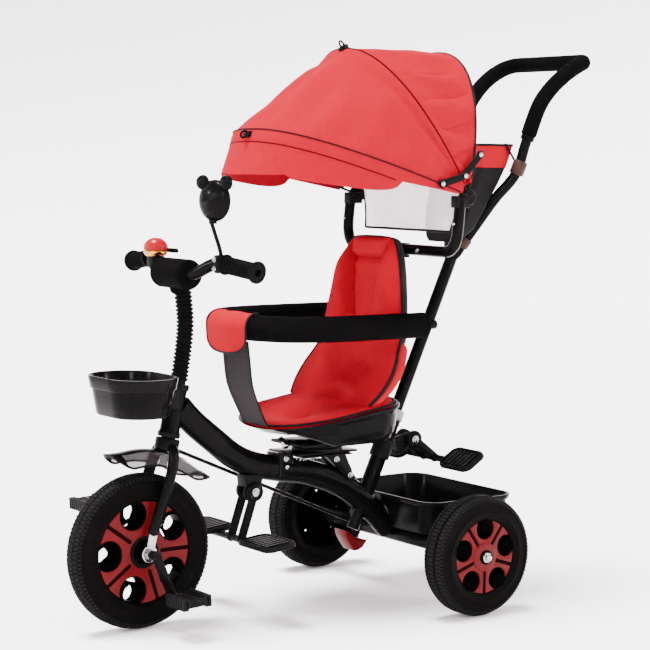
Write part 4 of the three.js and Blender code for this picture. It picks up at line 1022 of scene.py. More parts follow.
clamp = weld(block(at(108, -433, 594), (11, 29, 29)))
on(piece("mirror_clamp", clamp, black_plastic, bevel=3), "steering")
clamp_screws = weld(hexed(at(108, -448, 601), FORWARD, 3, 3), hexed(at(108, -448, 587), FORWARD, 3, 3))
on(piece("mirror_clamp_screws", clamp_screws, steel, bevel=0.2), "steering")
stalk = smooth_path([at(108, -435, 604), at(108, -440, 622), at(108, -447, 640), at(110.5, -455, 657),
                     at(112, -461, 670)], 24)
stem = weld(tube(stalk, 3.3, 16), turned([(0, -5.4), (3, -4.6), (5.2, -1.5), (5.2, 1.5), (3, 4.6), (0, 5.4)],
                                         at(112, -461, 670), UP, 24))
on(piece("mirror_stalk", stem, black_plastic), "steering", "mirror_stem")
MIRROR_X, MIRROR_Y = 116, -457
MIRROR_FACING = Vector((-0.24, 0.97, 0)).normalized()
MIRROR_SIDE = Vector((0.97, 0.24, 0)).normalized()
head_at = at(MIRROR_X, MIRROR_Y, 694)
shell = weld(turned([(0, -11), (12, -10), (22, -7), (29, -2), (32.4, 2), (33, 5), (32, 6.4), (29.5, 6.4),
                     (29.5, 4.4), (0, 4.4)], head_at,
                    MIRROR_FACING, 56),
             *[turned([(0, -6), (6, -5), (10.5, -2), (12, 2), (12, 5), (11, 6.2), (0, 6.2)],
                      head_at + MIRROR_SIDE * (25 * s * MM) + UP * (28 * MM),
                      MIRROR_FACING, 36)
               for s in (1, -1)],
             turned([(0, 0), (7, 0), (6, 6), (0, 6)], at(MIRROR_X, MIRROR_Y, 658), UP, 24))
on(piece("mirror_shell", shell, black_gloss, bevel=0.5), "mirror", "mirror_head")
glass = turned([(0, 4.5), (29.2, 4.5), (29.2, 5.2), (0, 5.6)], head_at, MIRROR_FACING, 56)
on(piece("mirror_glass_disc", glass, mirror_glass), "mirror")


# ---------------------------------------------------------------- seat
SEAT_MIDDLE = (0, -178)


def pan_outline(front_steps=36, corner_steps=10):
    """The seat's plan: a half ellipse in front and two round corners behind, in millimetres."""
    out = [(125 * math.cos(a), -198 - 97 * math.sin(a))
           for a in (math.pi * k / front_steps for k in range(front_steps + 1))]
    for sx, start in ((-1, math.pi), (1, math.pi / 2)):
        for k in range(corner_steps + 1):
            a = start - (math.pi / 2) * k / corner_steps
            out.append((sx * 65 + 60 * math.cos(a), -122 + 60 * math.sin(a)))
    return out


PAN = pan_outline()


def rim_height(y):
    return 350 + 0.14 * (y + 62) - 6 * max(0, (-y - 200) / 95) ** 2


def floor_height(y):
    return 284 + 0.34 * max(0, -y - 215)


def pan_ring(inset, share, lift=0.0):
    """A loop round the seat: so far in from its edge, and so far up from its floor to its rim."""
    out = []
    for x, y in PAN:
        away = Vector((x - SEAT_MIDDLE[0], y - SEAT_MIDDLE[1]))
        size = away.length
        away = away * max(0.0, (size - inset * size / 118) / size)
        px, py = SEAT_MIDDLE[0] + away.x, SEAT_MIDDLE[1] + away.y
        low, high = floor_height(y), rim_height(y)
        out.append(at(px, py, low + (high - low) * share + lift))
    return out


pan = loft([pan_ring(70, 0), pan_ring(30, 0), pan_ring(17, 0.02), pan_ring(8, 0.12), pan_ring(3, 0.3),
            pan_ring(0.6, 0.55),
            pan_ring(0, 0.8), pan_ring(-1, 0.9), pan_ring(-3.4, 0.95), pan_ring(-4, 1.0), pan_ring(-3, 1.04),
            pan_ring(-0.6, 1.06),
            pan_ring(2.2, 1.03), pan_ring(3.2, 0.95), pan_ring(4.4, 0.6), pan_ring(12, 0.34),
            pan_ring(60, 0.3)])
on(piece("seat_pan_shell", pan, black_gloss, smooth=60), "seat", "seat_shell")
seat_rings = [pan_ring(60, 0.34), pan_ring(14, 0.36), pan_ring(5.6, 0.6), pan_ring(4.4, 0.92, 1),
              pan_ring(5, 1.0, 4), pan_ring(8, 1.0, 8),
              pan_ring(14, 1.0, 11), pan_ring(24, 1.0, 12), pan_ring(36, 1.0, 11), pan_ring(50, 1.0, 9),
              pan_ring(66, 1.0, 7),
              pan_ring(84, 1.0, 5.4), pan_ring(104, 1.0, 4.6)]
for ring in seat_rings[6:]:
    for p in ring:
        soft = noise.noise(Vector((p.x * 16, p.y * 16, 3.1))) * 2.4 + noise.noise(Vector((p.x * 48, p.y * 40,
                                                                                          7.7))) * 0.8
        p.z += soft * MM
cushion = piece("seat_cushion", loft(seat_rings), red_seat, smooth=70, subdivide=1)
on(cushion, "seat", "seat_pad")
edge = pan_ring(4.6, 1.0, 5)
on(piece("seat_cushion_piping", tube(edge + edge[:2], 2.3, 10, caps=False), piping), "seat")

BACK_TOP, BACK_LOW = 628, 338
BACK_WRAP = 0.0009


def back_half(z):
    """Half the back pad's width at a height."""
    t = (BACK_TOP - z) / 266
    upper = 118 * min(1, t * 1.02 + 0.035) ** 0.3 + 9
    lower = -6 * smooth_between(468, 440, z) + 8 * math.exp(-((z - 398) / 30) ** 2) - 20 * max(0, (376 - z)
                                                                                               / 40) ** 2
    return upper + lower


def back_plane(x, z):
    """The y of the pad's front face before its stuffing."""
    forward = 0.0034 * max(0, 480 - z) ** 2
    return -47 - (BACK_TOP - z) * (25 / 254) - BACK_WRAP * x * x - forward


def smooth_between(a, b, value):
    t = max(0.0, min(1.0, (value - a) / (b - a)))
    return t * t * (3 - 2 * t)


def stuffing(x, z, half):
    """How far the pad stands forward: a sunk centre panel between two bolsters, and one soft dome below."""
    t = (BACK_TOP - z) / 190
    seam = 50 - 16 * smooth_between(0.05, 0.9, t)
    side = abs(x)
    if side < seam:
        panel = 5.0 * (1 - (side / seam) ** 4) * (1 if z > 592 else 0.5)
        crease = 6.0 * math.exp(-((z - 590) / 4.5) ** 2)
        upper = panel - crease + 1.0 + 6.0 * smooth_between(592, 604, z)
    else:
        k = (side - seam) / max(half - seam, 1)
        upper = 1.0 + 27 * math.sin(math.pi * min(1, k) ** 0.66) ** 0.7 * smooth_between(-0.05, 0.3, t)
    upper -= 6.5 * math.exp(-((side - seam) / 3.6) ** 2)
    dome = 13 * (1 - (side / max(half, 1)) ** 2) ** 0.6 if side < half else 0
    dome -= 8 * math.exp(-((z - 366 + 0.12 * side) / 9.0) ** 2) * (1 - (side / max(half, 1)) ** 2)
    lower = smooth_between(472, 452, z) if z < 472 else 0
    wrinkle = noise.noise(Vector((x * 0.03, z * 0.035, 1.7))) * 1.6 + noise.noise(Vector((x * 0.10, z * 0.07,
                                                                                          5.2))) * 0.7
    return upper * (1 - lower) + dome * lower + wrinkle * (1 - (side / max(half, 1)) ** 4
                                                           if side < half else 0)


def back_row(z, front_depth=1.0, behind=(8, 8), shrink=1.0, count=56, flat=False):
    """A closed loop round the pad at one height, front face then rear face."""
    half = back_half(z) * shrink
    out = []
    for k in range(count + 1):
        a = -1 + 2 * k / count
        share = math.sin(a * math.pi / 2) * 0.35 + a * 0.65
        x = half * share
        edge_roll = (1 - abs(share) ** 7) ** 0.5 if abs(share) < 1 else 0
        out.append(at(x, back_plane(x, z) - (0 if flat else stuffing(x, z, half) * front_depth * edge_roll)
                      - 5 * edge_roll, z))
    for k in range(1, count // 2):
        a = 1 - 2 * k / (count // 2)
        x = half * a
        roll = (1 - abs(a) ** 8) ** 0.5
        out.append(at(x, back_plane(x, z) + behind[0] * roll, z))
    return out


heights = [BACK_TOP - 0.0, BACK_TOP - 1.5, BACK_TOP - 4,
           BACK_TOP - 8] + [BACK_TOP - 8 - (BACK_TOP - 12 - BACK_LOW) * k / 84 for k in range(1, 85)]
back_rows = []
for i, z in enumerate(heights):
    share = (0.3, 0.62, 0.86, 0.97)[i] if i < 4 else 1.0
    row = back_row(z, share)
    if i < 3:
        middle_y = sum(p.y for p in row) / len(row)
        for p in row:
            p.y = middle_y + (p.y - middle_y) * (0.4, 0.75, 0.93)[i]
    back_rows.append(row)
back_pad = piece("back_cushion", loft(back_rows), red_seat, smooth=70)
on(back_pad, "seat", "back_pad")


def back_edge(low, high, steps, out=0.0, behind=0.0):
    """The line round the pad's edge from low on one side, over the top, to low on the other."""
    side = [(back_half(z) + out, z) for z in (low + (high - low) * k / steps for k in range(steps + 1))]
    top_half = side[-1][0]
    over = [(top_half * math.cos(a), high + 4 * math.sin(a))
            for a in (math.pi * k / 12 for k in range(1, 12))]
    places = [at(x, back_plane(x, z) + behind, z) for x, z in side]
    places += [at(x, back_plane(x, high) + behind, z) for x, z in over]
    places += [at(-x, back_plane(x, z) + behind, z) for x, z in reversed(side)]
    return places


on(piece("back_cushion_piping", tube(smooth_path(back_edge(350, 624, 24, 0.4, 0.5), 180), 3.0, 10), piping),
   "seat")
shell_rows = []
for i, z in enumerate([627, 624, 620, 612] + [600 - 250 * k / 24 for k in range(25)]):
    half = (back_half(z) - 1.5) * (0.93, 0.975, 0.99, 1)[min(i, 3)]
    front, rear = [], []
    for k in range(33):
        a = -1 + 2 * k / 32
        x = half * a
        roll = (1 - abs(a) ** 6) ** 0.5
        thin = (0.5, 0.8, 0.95, 1)[min(i, 3)]
        front.append(at(x, back_plane(x, z) + 6, z))
        rear.append(at(x, back_plane(x, z) + 7 + 17 * roll * thin, z))
    shell_rows.append(front + rear[::-1])
on(piece("seat_back_cover", loft(shell_rows), black_cloth, smooth=60), "seat", "seat_back_shell",
   slot="black_plastic")
back_struts = weld(*[block(at(32 * s, -56, 350), (22, 12, 70)) for s in (1, -1)])
on(piece("seat_back_struts", back_struts, black_plastic, bevel=2), "seat")


def wing_shape(s):
    """The side of the back pad, turned round behind it, with a round lower end under the guard."""
    rows = []
    for k in range(25):
        z = 452 - 118 * k / 24
        half = back_half(z) - 1
        depth = 24 * math.sqrt(max(0.03, 1 - (max(0, (z - 436) / 17)) ** 2))
        y0 = back_plane(half, z)
        bulge = 3 * math.sin(math.pi * k / 24)
        rows.append([at(s * (half - 5), y0 + 1, z), at(s * (half + 1.4 + bulge), y0 + 3, z),
                     at(s * (half + 2.4 + bulge), y0 + depth * 0.5, z),
                     at(s * (half + 1.2 + bulge), y0 + depth * 0.9, z), at(s * (half - 4), y0 + depth, z),
                     at(s * (half - 12), y0 + depth * 0.6, z)])
    return loft(rows)


wings = piece("back_side_wings", pairs(wing_shape), red_seat, smooth=60, subdivide=1)
on(wings, "seat")

# ---------------------------------------------------------------- guard ring and strap
guard_half = [at(133, -42, 484), at(133, -120, 484), at(131, -220, 484), at(109, -292, 484),
              at(60, -330, 484)]
guard_line = smooth_path(guard_half + [at(0, -338, 484)] + [Vector((-p.x, p.y, p.z))
                                                            for p in reversed(guard_half)], 96)
guard = piece("guard_foam_sleeve", tube(guard_line, 21.5, 36), black_foam, bevel=5)
on(guard, "seat", "guard_foam")
guard_pins = weld(*[rod(at(133 * s, -44, 484), at(133 * s, -20, 484), 8, 24) for s in (1, -1)],
                  *[rod(at(133 * s, -24, 484), at(100 * s, -30, 470), 6, 20) for s in (1, -1)])
on(piece("guard_tube_ends", guard_pins, black_paint, bevel=1), "seat", "guard_tube")


CUTS = {}


def run_length(points):
    return sum((b - a).length for a, b in zip(points, points[1:]))


def cloth(name, place, rows, columns, material, thick, body=None):
    """A thin closed sheet, with its own flat coordinates in metres for the weave."""
    shape = skin(rows, columns, place)
    size = CUTS[name] = (max(run_length(shape[0][i * columns:(i + 1) * columns]) for i in range(rows)),
                         max(run_length(shape[0][j::columns]) for j in range(columns)))
    thing = piece(name, shape, material, outward=False, doubles=1e-9)
    layer = thing.data.uv_layers.new(name="flat")
    for polygon in thing.data.polygons:
        for corner in polygon.loop_indices:
            index = thing.data.loops[corner].vertex_index
            layer.data[corner].uv = (index % columns / (columns - 1) * size[0],
                                     index // columns / (rows - 1) * size[1])
    wall = thing.modifiers.new("thickness", "SOLIDIFY")
    wall.thickness = thick * MM
    wall.offset = 0
    settle(thing)
    rework(thing.data, face_outwards)
    shade(thing, 50)
    if body:
        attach(thing, body)
    return thing


guard_arc = [0.0]
for a, b in zip(guard_line, guard_line[1:]):
    guard_arc.append(guard_arc[-1] + (b - a).length)


def guard_at(distance):
    """Place and outward direction on the guard ring, by the distance from its front middle."""
    want = guard_arc[-1] / 2 - distance
    i = min(range(len(guard_arc) - 1), key=lambda k: abs(guard_arc[k] - want))
    share = (want - guard_arc[i]) / max(guard_arc[i + 1] - guard_arc[i], 1e-9)
    place = guard_line[i].lerp(guard_line[i + 1], share)
    heading = (guard_line[i + 1] - guard_line[max(i - 1, 0)]).normalized()
    out = heading.cross(UP)
    return place, out if out.y < 0 or abs(out.y) < 0.2 else -out


FLAP_HALF, FLAP_RADIUS = 52, 23.4


def flap_point(t, u, lift=0.0):
    """Over the guard from behind its top, down its front, then hanging with round lower corners."""
    side = 2 * u - 1
    place, out = guard_at(side * FLAP_HALF * MM)
    hang = 26 * math.sqrt(max(0, 1 - abs(side) ** 3.2)) - 8
    wrapped = math.radians(125)
    total = wrapped * FLAP_RADIUS + 22 + hang
    run = t * total
    radius = FLAP_RADIUS + lift + 0.8 * math.sin(side * 5 + 1)
    if run < wrapped * FLAP_RADIUS:
        a = math.radians(118) - run / FLAP_RADIUS
        return place + (out * math.cos(a) + UP * math.sin(a)) * (radius * MM)
    a = math.radians(118) - wrapped
    drop = run - wrapped * FLAP_RADIUS
    return place + (out * (math.cos(a) - 0.0022 * drop) + UP * math.sin(a)) * (radius * MM) - UP * (drop * MM)


flap = cloth("guard_cover_flap", flap_point, 40, 41, red_seat, 1.6, "seat")
flap_edge = [flap_point(k / 30, 0, 0.6) for k in range(31)] + [flap_point(1, k / 40, 0.6)
                                                               for k in range(1, 40)] \
    + [flap_point(1 - k / 30, 1, 0.6) for k in range(31)]
flap_piping = on(piece("guard_flap_piping", tube(flap_edge, 1.9, 10), piping), "seat")
strap_line = smooth_path([at(0, -337, 461), at(0, -333, 430), at(0, -326, 385), at(0, -309, 346),
                          at(0, -294, 318)], 40)


def strap_skin(low, high, thick):
    rows = []
    for k, p in enumerate(strap_line):
        t = k / (len(strap_line) - 1)
        half = 37 * (1 - 0.12 * t + 0.06 * math.sin(math.pi * t))
        tangent = (strap_line[min(k + 1, len(strap_line) - 1)] - strap_line[max(k - 1, 0)]).normalized()
        normal = tangent.cross(LEFT).normalized()
        row = []
        for m in range(9):
            v = low + (high - low) * m / 8
            row.append(p + LEFT * (half * v * MM) + normal * ((thick / 2 + 1.6 * (v * v - 0.4)) * MM))
        for m in range(8, -1, -1):
            v = low + (high - low) * m / 8
            row.append(p + LEFT * (half * v * MM) + normal * ((-thick / 2 + 1.6 * (v * v - 0.4)) * MM))
        rows.append(row)
    return loft(rows)


strap = piece("crotch_strap_webbing", strap_skin(-1, 1, 2.6), webbing, smooth=50)
on(strap, "seat", "crotch_strap")
strap_edges = weld(strap_skin(-1.04, -0.86, 3.6), strap_skin(0.86, 1.04, 3.6))
on(piece("crotch_strap_binding", strap_edges, piping, smooth=50), "seat")

disc = weld(turned([(0, 2), (44, 2), (46, 2.6), (46, 5), (0, 5)], at(0, -168, 270), UP, 56),
            block(at(0, -176, 279), (96, 110, 5)),
            *[hexed(at(x, y, 281), UP, 4.6, 3) for x in (38, -38) for y in (-132, -216)])
on(piece("turntable_plate", disc, black_gloss, bevel=0.8), "seat", "turntable_top", slot="black_paint")
knob = turned([(0, 0), (3.2, 0), (3.2, 6), (6.2, 7), (6.6, 9), (6.6, 14), (5.6, 16.4), (0, 17)],
              at(0, -223.4, 277), FORWARD, 28)
on(piece("swivel_lock_knob", knob, steel, bevel=0.3), "lock", "swivel_lock")

# ---------------------------------------------------------------- canopy
FOLD = (28, 700)
RIBS = {"back": (153, 250, 2.38, -11.2), "mid": (158.5, 286, 2.28, 31.1), "front": (164, 350, 2.65, 72.1)}


def rib_at(rib, s, grow=0.0):
    """A place on a rib's bow; s runs from 0 at the left hinge to pi at the right one."""
    half, reach, full, lean = RIBS[rib]
    lean = math.radians(lean)
    c = math.cos(s)
    x = (half + grow) * math.copysign(abs(c) ** (2 / full), c)
    d = (reach + grow) * max(0.0, math.sin(s)) ** (2 / full)
    return Vector((x, FOLD[0] - d * math.sin(lean), FOLD[1] + d * math.cos(lean)))


def bow(rib, low, count, grow=0.0):
    """Evenly spaced places along a rib from so far up it on the left to as far on the right."""
    half, reach, full, lean = RIBS[rib]
    start = math.asin((low / reach) ** (full / 2))
    fine = [rib_at(rib, start + (math.pi - 2 * start) * k / 600, grow) for k in range(601)]
    lengths = [0.0]
    for a, b in zip(fine, fine[1:]):
        lengths.append(lengths[-1] + (b - a).length)
    out, i = [], 0
    for k in range(count):
        want = lengths[-1] * k / (count - 1)
        while i < 599 and lengths[i + 1] < want:
            i += 1
        share = (want - lengths[i]) / max(lengths[i + 1] - lengths[i], 1e-9)
        out.append(fine[i].lerp(fine[i + 1], min(1.0, share)))
    return out


def real(p):
    return at(p.x, p.y, p.z)


for rib, body, node in (("back", "seat", "canopy_rib_back"), ("mid", "canopy_middle", "canopy_rib_mid"),
                        ("front", "canopy_front", "canopy_rib_front")):
    wire = piece("canopy_" + rib + "_wire", tube([real(p) for p in bow(rib, 6, 120)], 2.3, 10), black_plastic)
    on(wire, body, node)
COLUMNS = 241
SKIN_GAP = 4.0
edges = {rib: bow(rib, 24, COLUMNS, SKIN_GAP) for rib in RIBS}


def panel_point(first, second, t, u, shape):
    """Between two ribs, tight, with the shape's soft folds along the way out from the hinge."""
    i = min(COLUMNS - 1, round(u * (COLUMNS - 1)))
    a, b = edges[first][i], edges[second][i]
    p = a.lerp(b, t)
    away = Vector((p.x * 0.55, p.y - FOLD[0], p.z - FOLD[1])).normalized()
    return real(p + away * shape(t, u))


def back_folds(t, u):
    """Level wrinkles across the rear panel, strongest on its sides, and a shade of sag."""
    between = math.sin(math.pi * t)
    sides = abs(2 * u - 1)
    level = math.sin(u * 62 + 2.2 * math.sin(t * 4)) * 2.8 * (0.4 + sides) + math.sin(u * 37 - t * 2) * 2.2
    crease = -6.0 * max(0, math.sin(u * 80 + t * 1.5)) ** 6 * sides
    puff = 2.5 * between * (1 - 0.3 * sides)
    return puff + (level + crease) * between ** 0.7 + 7.0 * noise.noise(Vector((t * 2.4, u * 26,
                                                                                0.4))) * between


def front_folds(t, u):
    """A soft sunken fold just ahead of the middle rib, and creases that fan out to the front."""
    between = math.sin(math.pi * t)
    sides = abs(2 * u - 1)
    sunk = -12.0 * math.exp(-((t - 0.13) / 0.06) ** 2) * (0.25 + 0.75 * sides) * min(1, 6 * min(u, 1 - u))
    fan = math.sin(u * 70 + 3.0
                   * t) * 4.6 * smooth_between(0.15, 0.7, t) * smooth_between(1.0, 0.8, t) * (1 - 0.7 * sides)
    fan += 9.0 * noise.noise(Vector((t * 1.6, u * 15, 8.4))) * between
    puff = 3.0 * between * (1 - sides) ** 0.5
    return sunk + fan + puff


ROWS = 57
for label, first, second, folds, bodies, node in (
        ("back", "back", "mid", back_folds, ("seat", "canopy_middle"), "canopy_back_panel"),
        ("front", "mid", "front", front_folds, ("canopy_middle", "canopy_front"), "canopy_front_panel")):
    def place(t, u, first=first, second=second, folds=folds):
        return panel_point(first, second, t, u, folds)
    panel = cloth("canopy_" + label + "_cloth", place, ROWS, COLUMNS, red_canopy, 1.5)
    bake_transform(panel)
    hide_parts(node)

front_out = Vector((0, -math.cos(math.radians(72.1)), -math.sin(math.radians(72.1))))
visor_top = bow("front", 30, COLUMNS, SKIN_GAP + 1.2)
VISOR_BAND = 22


def visor_drop(u):
    """How far the flap hangs along the front rib: bare at the sides, a long lobe, then a front lobe."""
    side = min(u, 1 - u)
    if side < 0.145:
        return 3 + 17 * side / 0.145
    if side < 0.385:
        k = (side - 0.145) / 0.24
        return 20 + 54 * k ** 0.42 - 6 * smooth_between(0.9, 1.0, k)
    k = (side - 0.385) / 0.115
    return 68 + 10 * math.sin(k * math.pi / 2) ** 0.6


def visor_point(t, u, lift=0.0):
    i = min(COLUMNS - 1, round(u * (COLUMNS - 1)))
    p = visor_top[i]
    away = Vector((p.x, p.y - FOLD[0] + 120, 0)).normalized()
    drop = visor_drop(u) * t
    swell = 1.0 * math.sin(math.pi * drop / VISOR_BAND) if drop < VISOR_BAND else 0.0
    wave = 1.6 * math.sin(u * 31) * (drop / 76) ** 1.5
    flare = 2.5 * (drop / 76) ** 2
    return real(p + front_out * drop + away * (swell + wave + flare + lift))


visor = cloth("canopy_scalloped_visor", visor_point, 31, COLUMNS, red_canopy, 1.4, "canopy_front")
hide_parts("canopy_visor")
line_one = piece("front_rib_seam", tube([visor_point(0, k / 240, 0.9) for k in range(241)], 1.3, 8), piping)
on(line_one, "canopy_front")
line_two = piece("visor_band_seam",
                 tube([visor_point(min(1, VISOR_BAND / visor_drop(k / 240)), k / 240, 0.75)
                       for k in range(38, 203)], 0.9, 8),
                 line_dark)
on(line_two, "canopy_front")
hem = piece("visor_hem", tube([visor_point(1, k / 240, 0) for k in range(241)], 1.2, 8), red_canopy)
on(hem, "canopy_front")
mid_seam = piece("middle_rib_seam", tube([real(p) for p in bow("mid", 26, 141, SKIN_GAP + 1.0)], 1.2, 8),
                 line_dark)
on(mid_seam, "canopy_middle")
binding = piece("canopy_rear_binding", tube([real(p) for p in bow("back", 20, 141, SKIN_GAP)], 2.6, 10),
                piping)
on(binding, "seat")

curtain_top = bow("back", 24, 81, -7)


def curtain_point(t, u):
    p = curtain_top[min(80, round(u * 80))]
    low = Vector((p.x * 0.82, 21, 640))
    q = p.lerp(low, t)
    return real(q + Vector((0, 1.6 * math.sin(u * 40) * math.sin(math.pi * t) ** 0.7 + 1.2
                            * math.sin(u * 23 + t * 6), 0)))


curtain = cloth("rear_net_curtain", curtain_point, 33, 81, net, 0.5, "seat")
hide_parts("mesh_curtain")
curtain_hem = weld(tube([curtain_point(1, k / 80) for k in range(81)], 2.2, 10),
                   tube([curtain_point(k / 32, 0) for k in range(33)], 1.8, 10),
                   tube([curtain_point(k / 32, 1) for k in range(33)], 1.8, 10))
curtain_edge = on(piece("net_curtain_binding", curtain_hem, piping), "seat")

arch = smooth_path([at(155, 12, 700), at(155, 12, 688), at(155, 8, 645), at(152, 7.4, 627), at(146, 7, 616),
                    at(134, 7, 608), at(117, 7, 606),
                    at(60, 7, 606), at(0, 7, 606), at(-60, 7, 606), at(-117, 7, 606), at(-134, 7, 608),
                    at(-146, 7, 616),
                    at(-152, 7.4, 627), at(-155, 8, 645), at(-155, 12, 688), at(-155, 12, 700)], 120)
post = smooth_path([at(0, 7, 606), at(0, -8, 500), at(0, -24, 380), at(0, -40, 296)], 30)
hinge_blocks = [block(at(152 * s, 16, 692), (20, 28, 20)) for s in (1, -1)]
canopy_bars = weld(tube(arch, 9.8, 24), tube(post, 8, 20), block(at(0, 4, 604), (30, 26, 26)))
on(piece("canopy_u_frame", canopy_bars, black_paint, bevel=1), "seat", "canopy_frame")
on(piece("canopy_hinge_blocks",
         weld(*hinge_blocks, *[turned([(0, -12), (13, -12), (14, -10), (14, 4), (12, 6), (0, 6)],
                                                               at(158 * s, 28, 700), LEFT * s, 36)
                                                               for s in (1, -1)]),
         black_plastic, bevel=2), "seat")
frame_buttons = weld(*[turned([(0, 9), (3, 9), (2.4, 11), (0, 11.6)], at(155 * s, 8, 655), Vector((0, -1, 0)),
                              20) for s in (1, -1)],
                     *[hexed(at(60 * s, -2, 606), FORWARD, 3.6, 3) for s in (1, -1)],
                     *[turned([(0, 0), (7, 0), (7, 1.4), (0, 2)], at(159 * s, 8, 640), LEFT * s, 24)
                       for s in (1, -1)])
on(piece("frame_buttons_and_screws", frame_buttons, steel), "seat")

KNEE, REAR_END, FRONT_END = (7, 736), (42.3, 772.1), (-41.9, 722.6)
for side, s in (("left", 1), ("right", -1)):
    for label, far, inner, body in (("rear", REAR_END, 168.6, side + "_rear_stay"),
                                    ("front", FRONT_END, 172.0, side + "_front_stay")):
        low_x = inner if s > 0 else -inner - 2.5
        bar_shape = weld(slab(capsule(*KNEE, *far, 6.2), 2.5, on_side(low_x)),
                         slab(capsule(*far, *far, 7.4), 3.1, on_side(low_x - 0.3)))
        on(piece(side + "_" + label + "_stay_bar", bar_shape, black_gloss, bevel=0.8), body,
           "stay_" + label + "_" + side,
           slot="black_paint")
        head_shape = turned([(0, 0), (4.4, 0), (4.2, 1.6), (2.8, 2.8), (0, 3.3)], at((inner + 2.4) * s, *far),
                            LEFT * s, 28)
        on(piece(side + "_" + label + "_stay_rivet", head_shape, steel), body)
    knee_rivet = turned([(0, 0), (4.4, 0), (4.2, 1.6), (2.8, 2.8), (0, 3.3)], at(174.4 * s, *KNEE), LEFT * s,
                        28)
    on(piece(side + "_knee_rivet", knee_rivet, steel), side + "_front_stay")


def clip(name, body, place, out, along):
    """A small plastic clip with a ring, sewn over a rib."""
    across_way = along.cross(out).normalized()
    turn = Matrix((along, across_way, out)).transposed()
    loop = [place + out * (9 * MM) + along * (6 * math.cos(a) * MM) + out * (6 * math.sin(a) * MM)
            for a in (TAU * k / 24 for k in range(25))]
    shape = weld(block(place + out * (2 * MM), (11, 16, 7), turn), tube(loop, 1.8, 10, caps=False))
    on(piece(name, shape, black_gloss, bevel=1), body)


mid_top = real(rib_at("mid", math.pi / 2, SKIN_GAP))
clip("middle_rib_clip", "canopy_middle", mid_top, Vector((0, -0.52, 0.85)).normalized(), LEFT)
clip("front_rib_clip", "canopy_front", visor_point(0.12, 0.5) + FORWARD * MM, FORWARD, front_out)

# ---------------------------------------------------------------- push handle, bag, link and clutch
pole = weld(rod(on_pole(0, 0, 0), on_pole(0, 0, 527), 11.1, 32),
            turned([(0, 520), (12.6, 520), (13.2, 522), (13.2, 534), (11, 538), (0, 538)],
                                                                         on_pole(0, 0, 0), POLE_UP, 36))
on(piece("push_pole_tube", pole, black_paint, bevel=1), "handle", "push_pole")


def arm(s):
    return [on_pole(s * 6, 0, 522), on_pole(s * 10.5, 0, 527), on_pole(s * 15, 0, 539),
            on_pole(s * 36, 0, 583), on_pole(s * 60, 0, 633),
            at(s * 80, 202, 739), at(s * 90, 216, 795), at(s * 97, 238, 858), at(s * 100, 262, 890),
            at(s * 102, 292, 915),
            at(s * 101, 322, 932), at(s * 96, 343, 940), at(s * 82, 351, 942), at(s * 60, 352, 942)]


loop_line = smooth_path(arm(1) + [at(0, 352, 942)] + arm(-1)[::-1], 220)
on(piece("push_handle_tube", tube(loop_line, 9.4, 22), black_paint), "handle", "push_handle")
foam_part = [p for p in loop_line if p.z > at(0, 0, 806).z]
handle_foam = piece("handle_foam_sleeve", tube(foam_part, 14, 28), black_foam, bevel=2.5)
on(handle_foam, "handle", "handle_foam")
for side, pick in (("left", 1), ("right", -1)):
    ends = foam_part if pick > 0 else foam_part[::-1]
    seam_at = next(i for i, p in enumerate(ends) if p.z > at(0, 0, 922).z)
    seam_ring = turned([(12.4, -0.8), (14.2, -0.8), (14.2, 0.8), (12.4, 0.8)], ends[seam_at],
                       ends[seam_at + 1] - ends[seam_at - 1], 32,
                       whole=True)
    on(piece(side + "_foam_seam", seam_ring, grip_rubber), "handle")
    heading = (ends[1] - ends[0]).normalized()
    ferrule = turned([(9.4, -9), (11.6, -8.6), (12.2, -7), (12.2, -1), (9.4, -0.6)], ends[0], heading, 32,
                     whole=True)
    on(piece(side + "_foam_ferrule", ferrule, grip_rubber), "handle")
    bare = [p for p in (loop_line if pick > 0 else loop_line[::-1]) if p.z < at(0, 0, 770).z][:200]
    near = min(range(4, len(bare) - 1), key=lambda i: abs(bare[i].z - at(0, 0, 752).z) + (9 if i > 60 else 0))
    collar = turned([(9.4, -13), (11.8, -12.4), (13, -10), (13, 10), (11.8, 12.4), (9.4, 13)], bare[near],
                    bare[near + 1] - bare[near - 1], 32,
                    whole=True)
    on(piece(side + "_brown_collar", collar, brown), "handle")
    root = on_pole(15 * pick, 0, 539)
    on(piece(side + "_arm_collar", turned([(9.4, 0), (11.4, 0.6), (11.8, 4), (11.8, 16), (10.6, 18),
                                           (9.4, 18.4)], root,
                                          on_pole(60 * pick, 0, 633) - root, 32, whole=True), brown),
                                          "handle")


def bag_ring(z, half, front, rear, grow=0.0, corner=9):
    middle = (front + rear) / 2
    return [at(x, middle + y, z) for x, y in rounded(2 * (half + grow), rear - front + 2 * grow, corner, 7)]


BAG = ((618, 30, 92, 112), (624, 40, 94, 120), (640, 50, 99, 134), (670, 58, 107, 150), (700, 61, 115, 166),
       (730, 64, 124, 182),
       (755, 67, 133, 196), (790, 68, 144, 208))


def bag_between(low, high, steps):
    rings = []
    for k in range(steps + 1):
        z = low + (high - low) * k / steps
        for a, b in zip(BAG, BAG[1:]):
            if a[0] <= z <= b[0]:
                share = (z - a[0]) / (b[0] - a[0])
                row = [p + (q - p) * share for p, q in zip(a, b)]
        ring_here = bag_ring(*row, grow=0, corner=min(9, (row[3] - row[2]) / 2 - 0.5))
        for p in ring_here:
            soft = 2.2 * noise.noise(Vector((p.x * 30, p.y * 20, p.z * 34))) * math.sin(math.pi * (z - 616)
                                                                                        / 180)
            p.y += soft * MM
        rings.append(ring_here)
    return rings


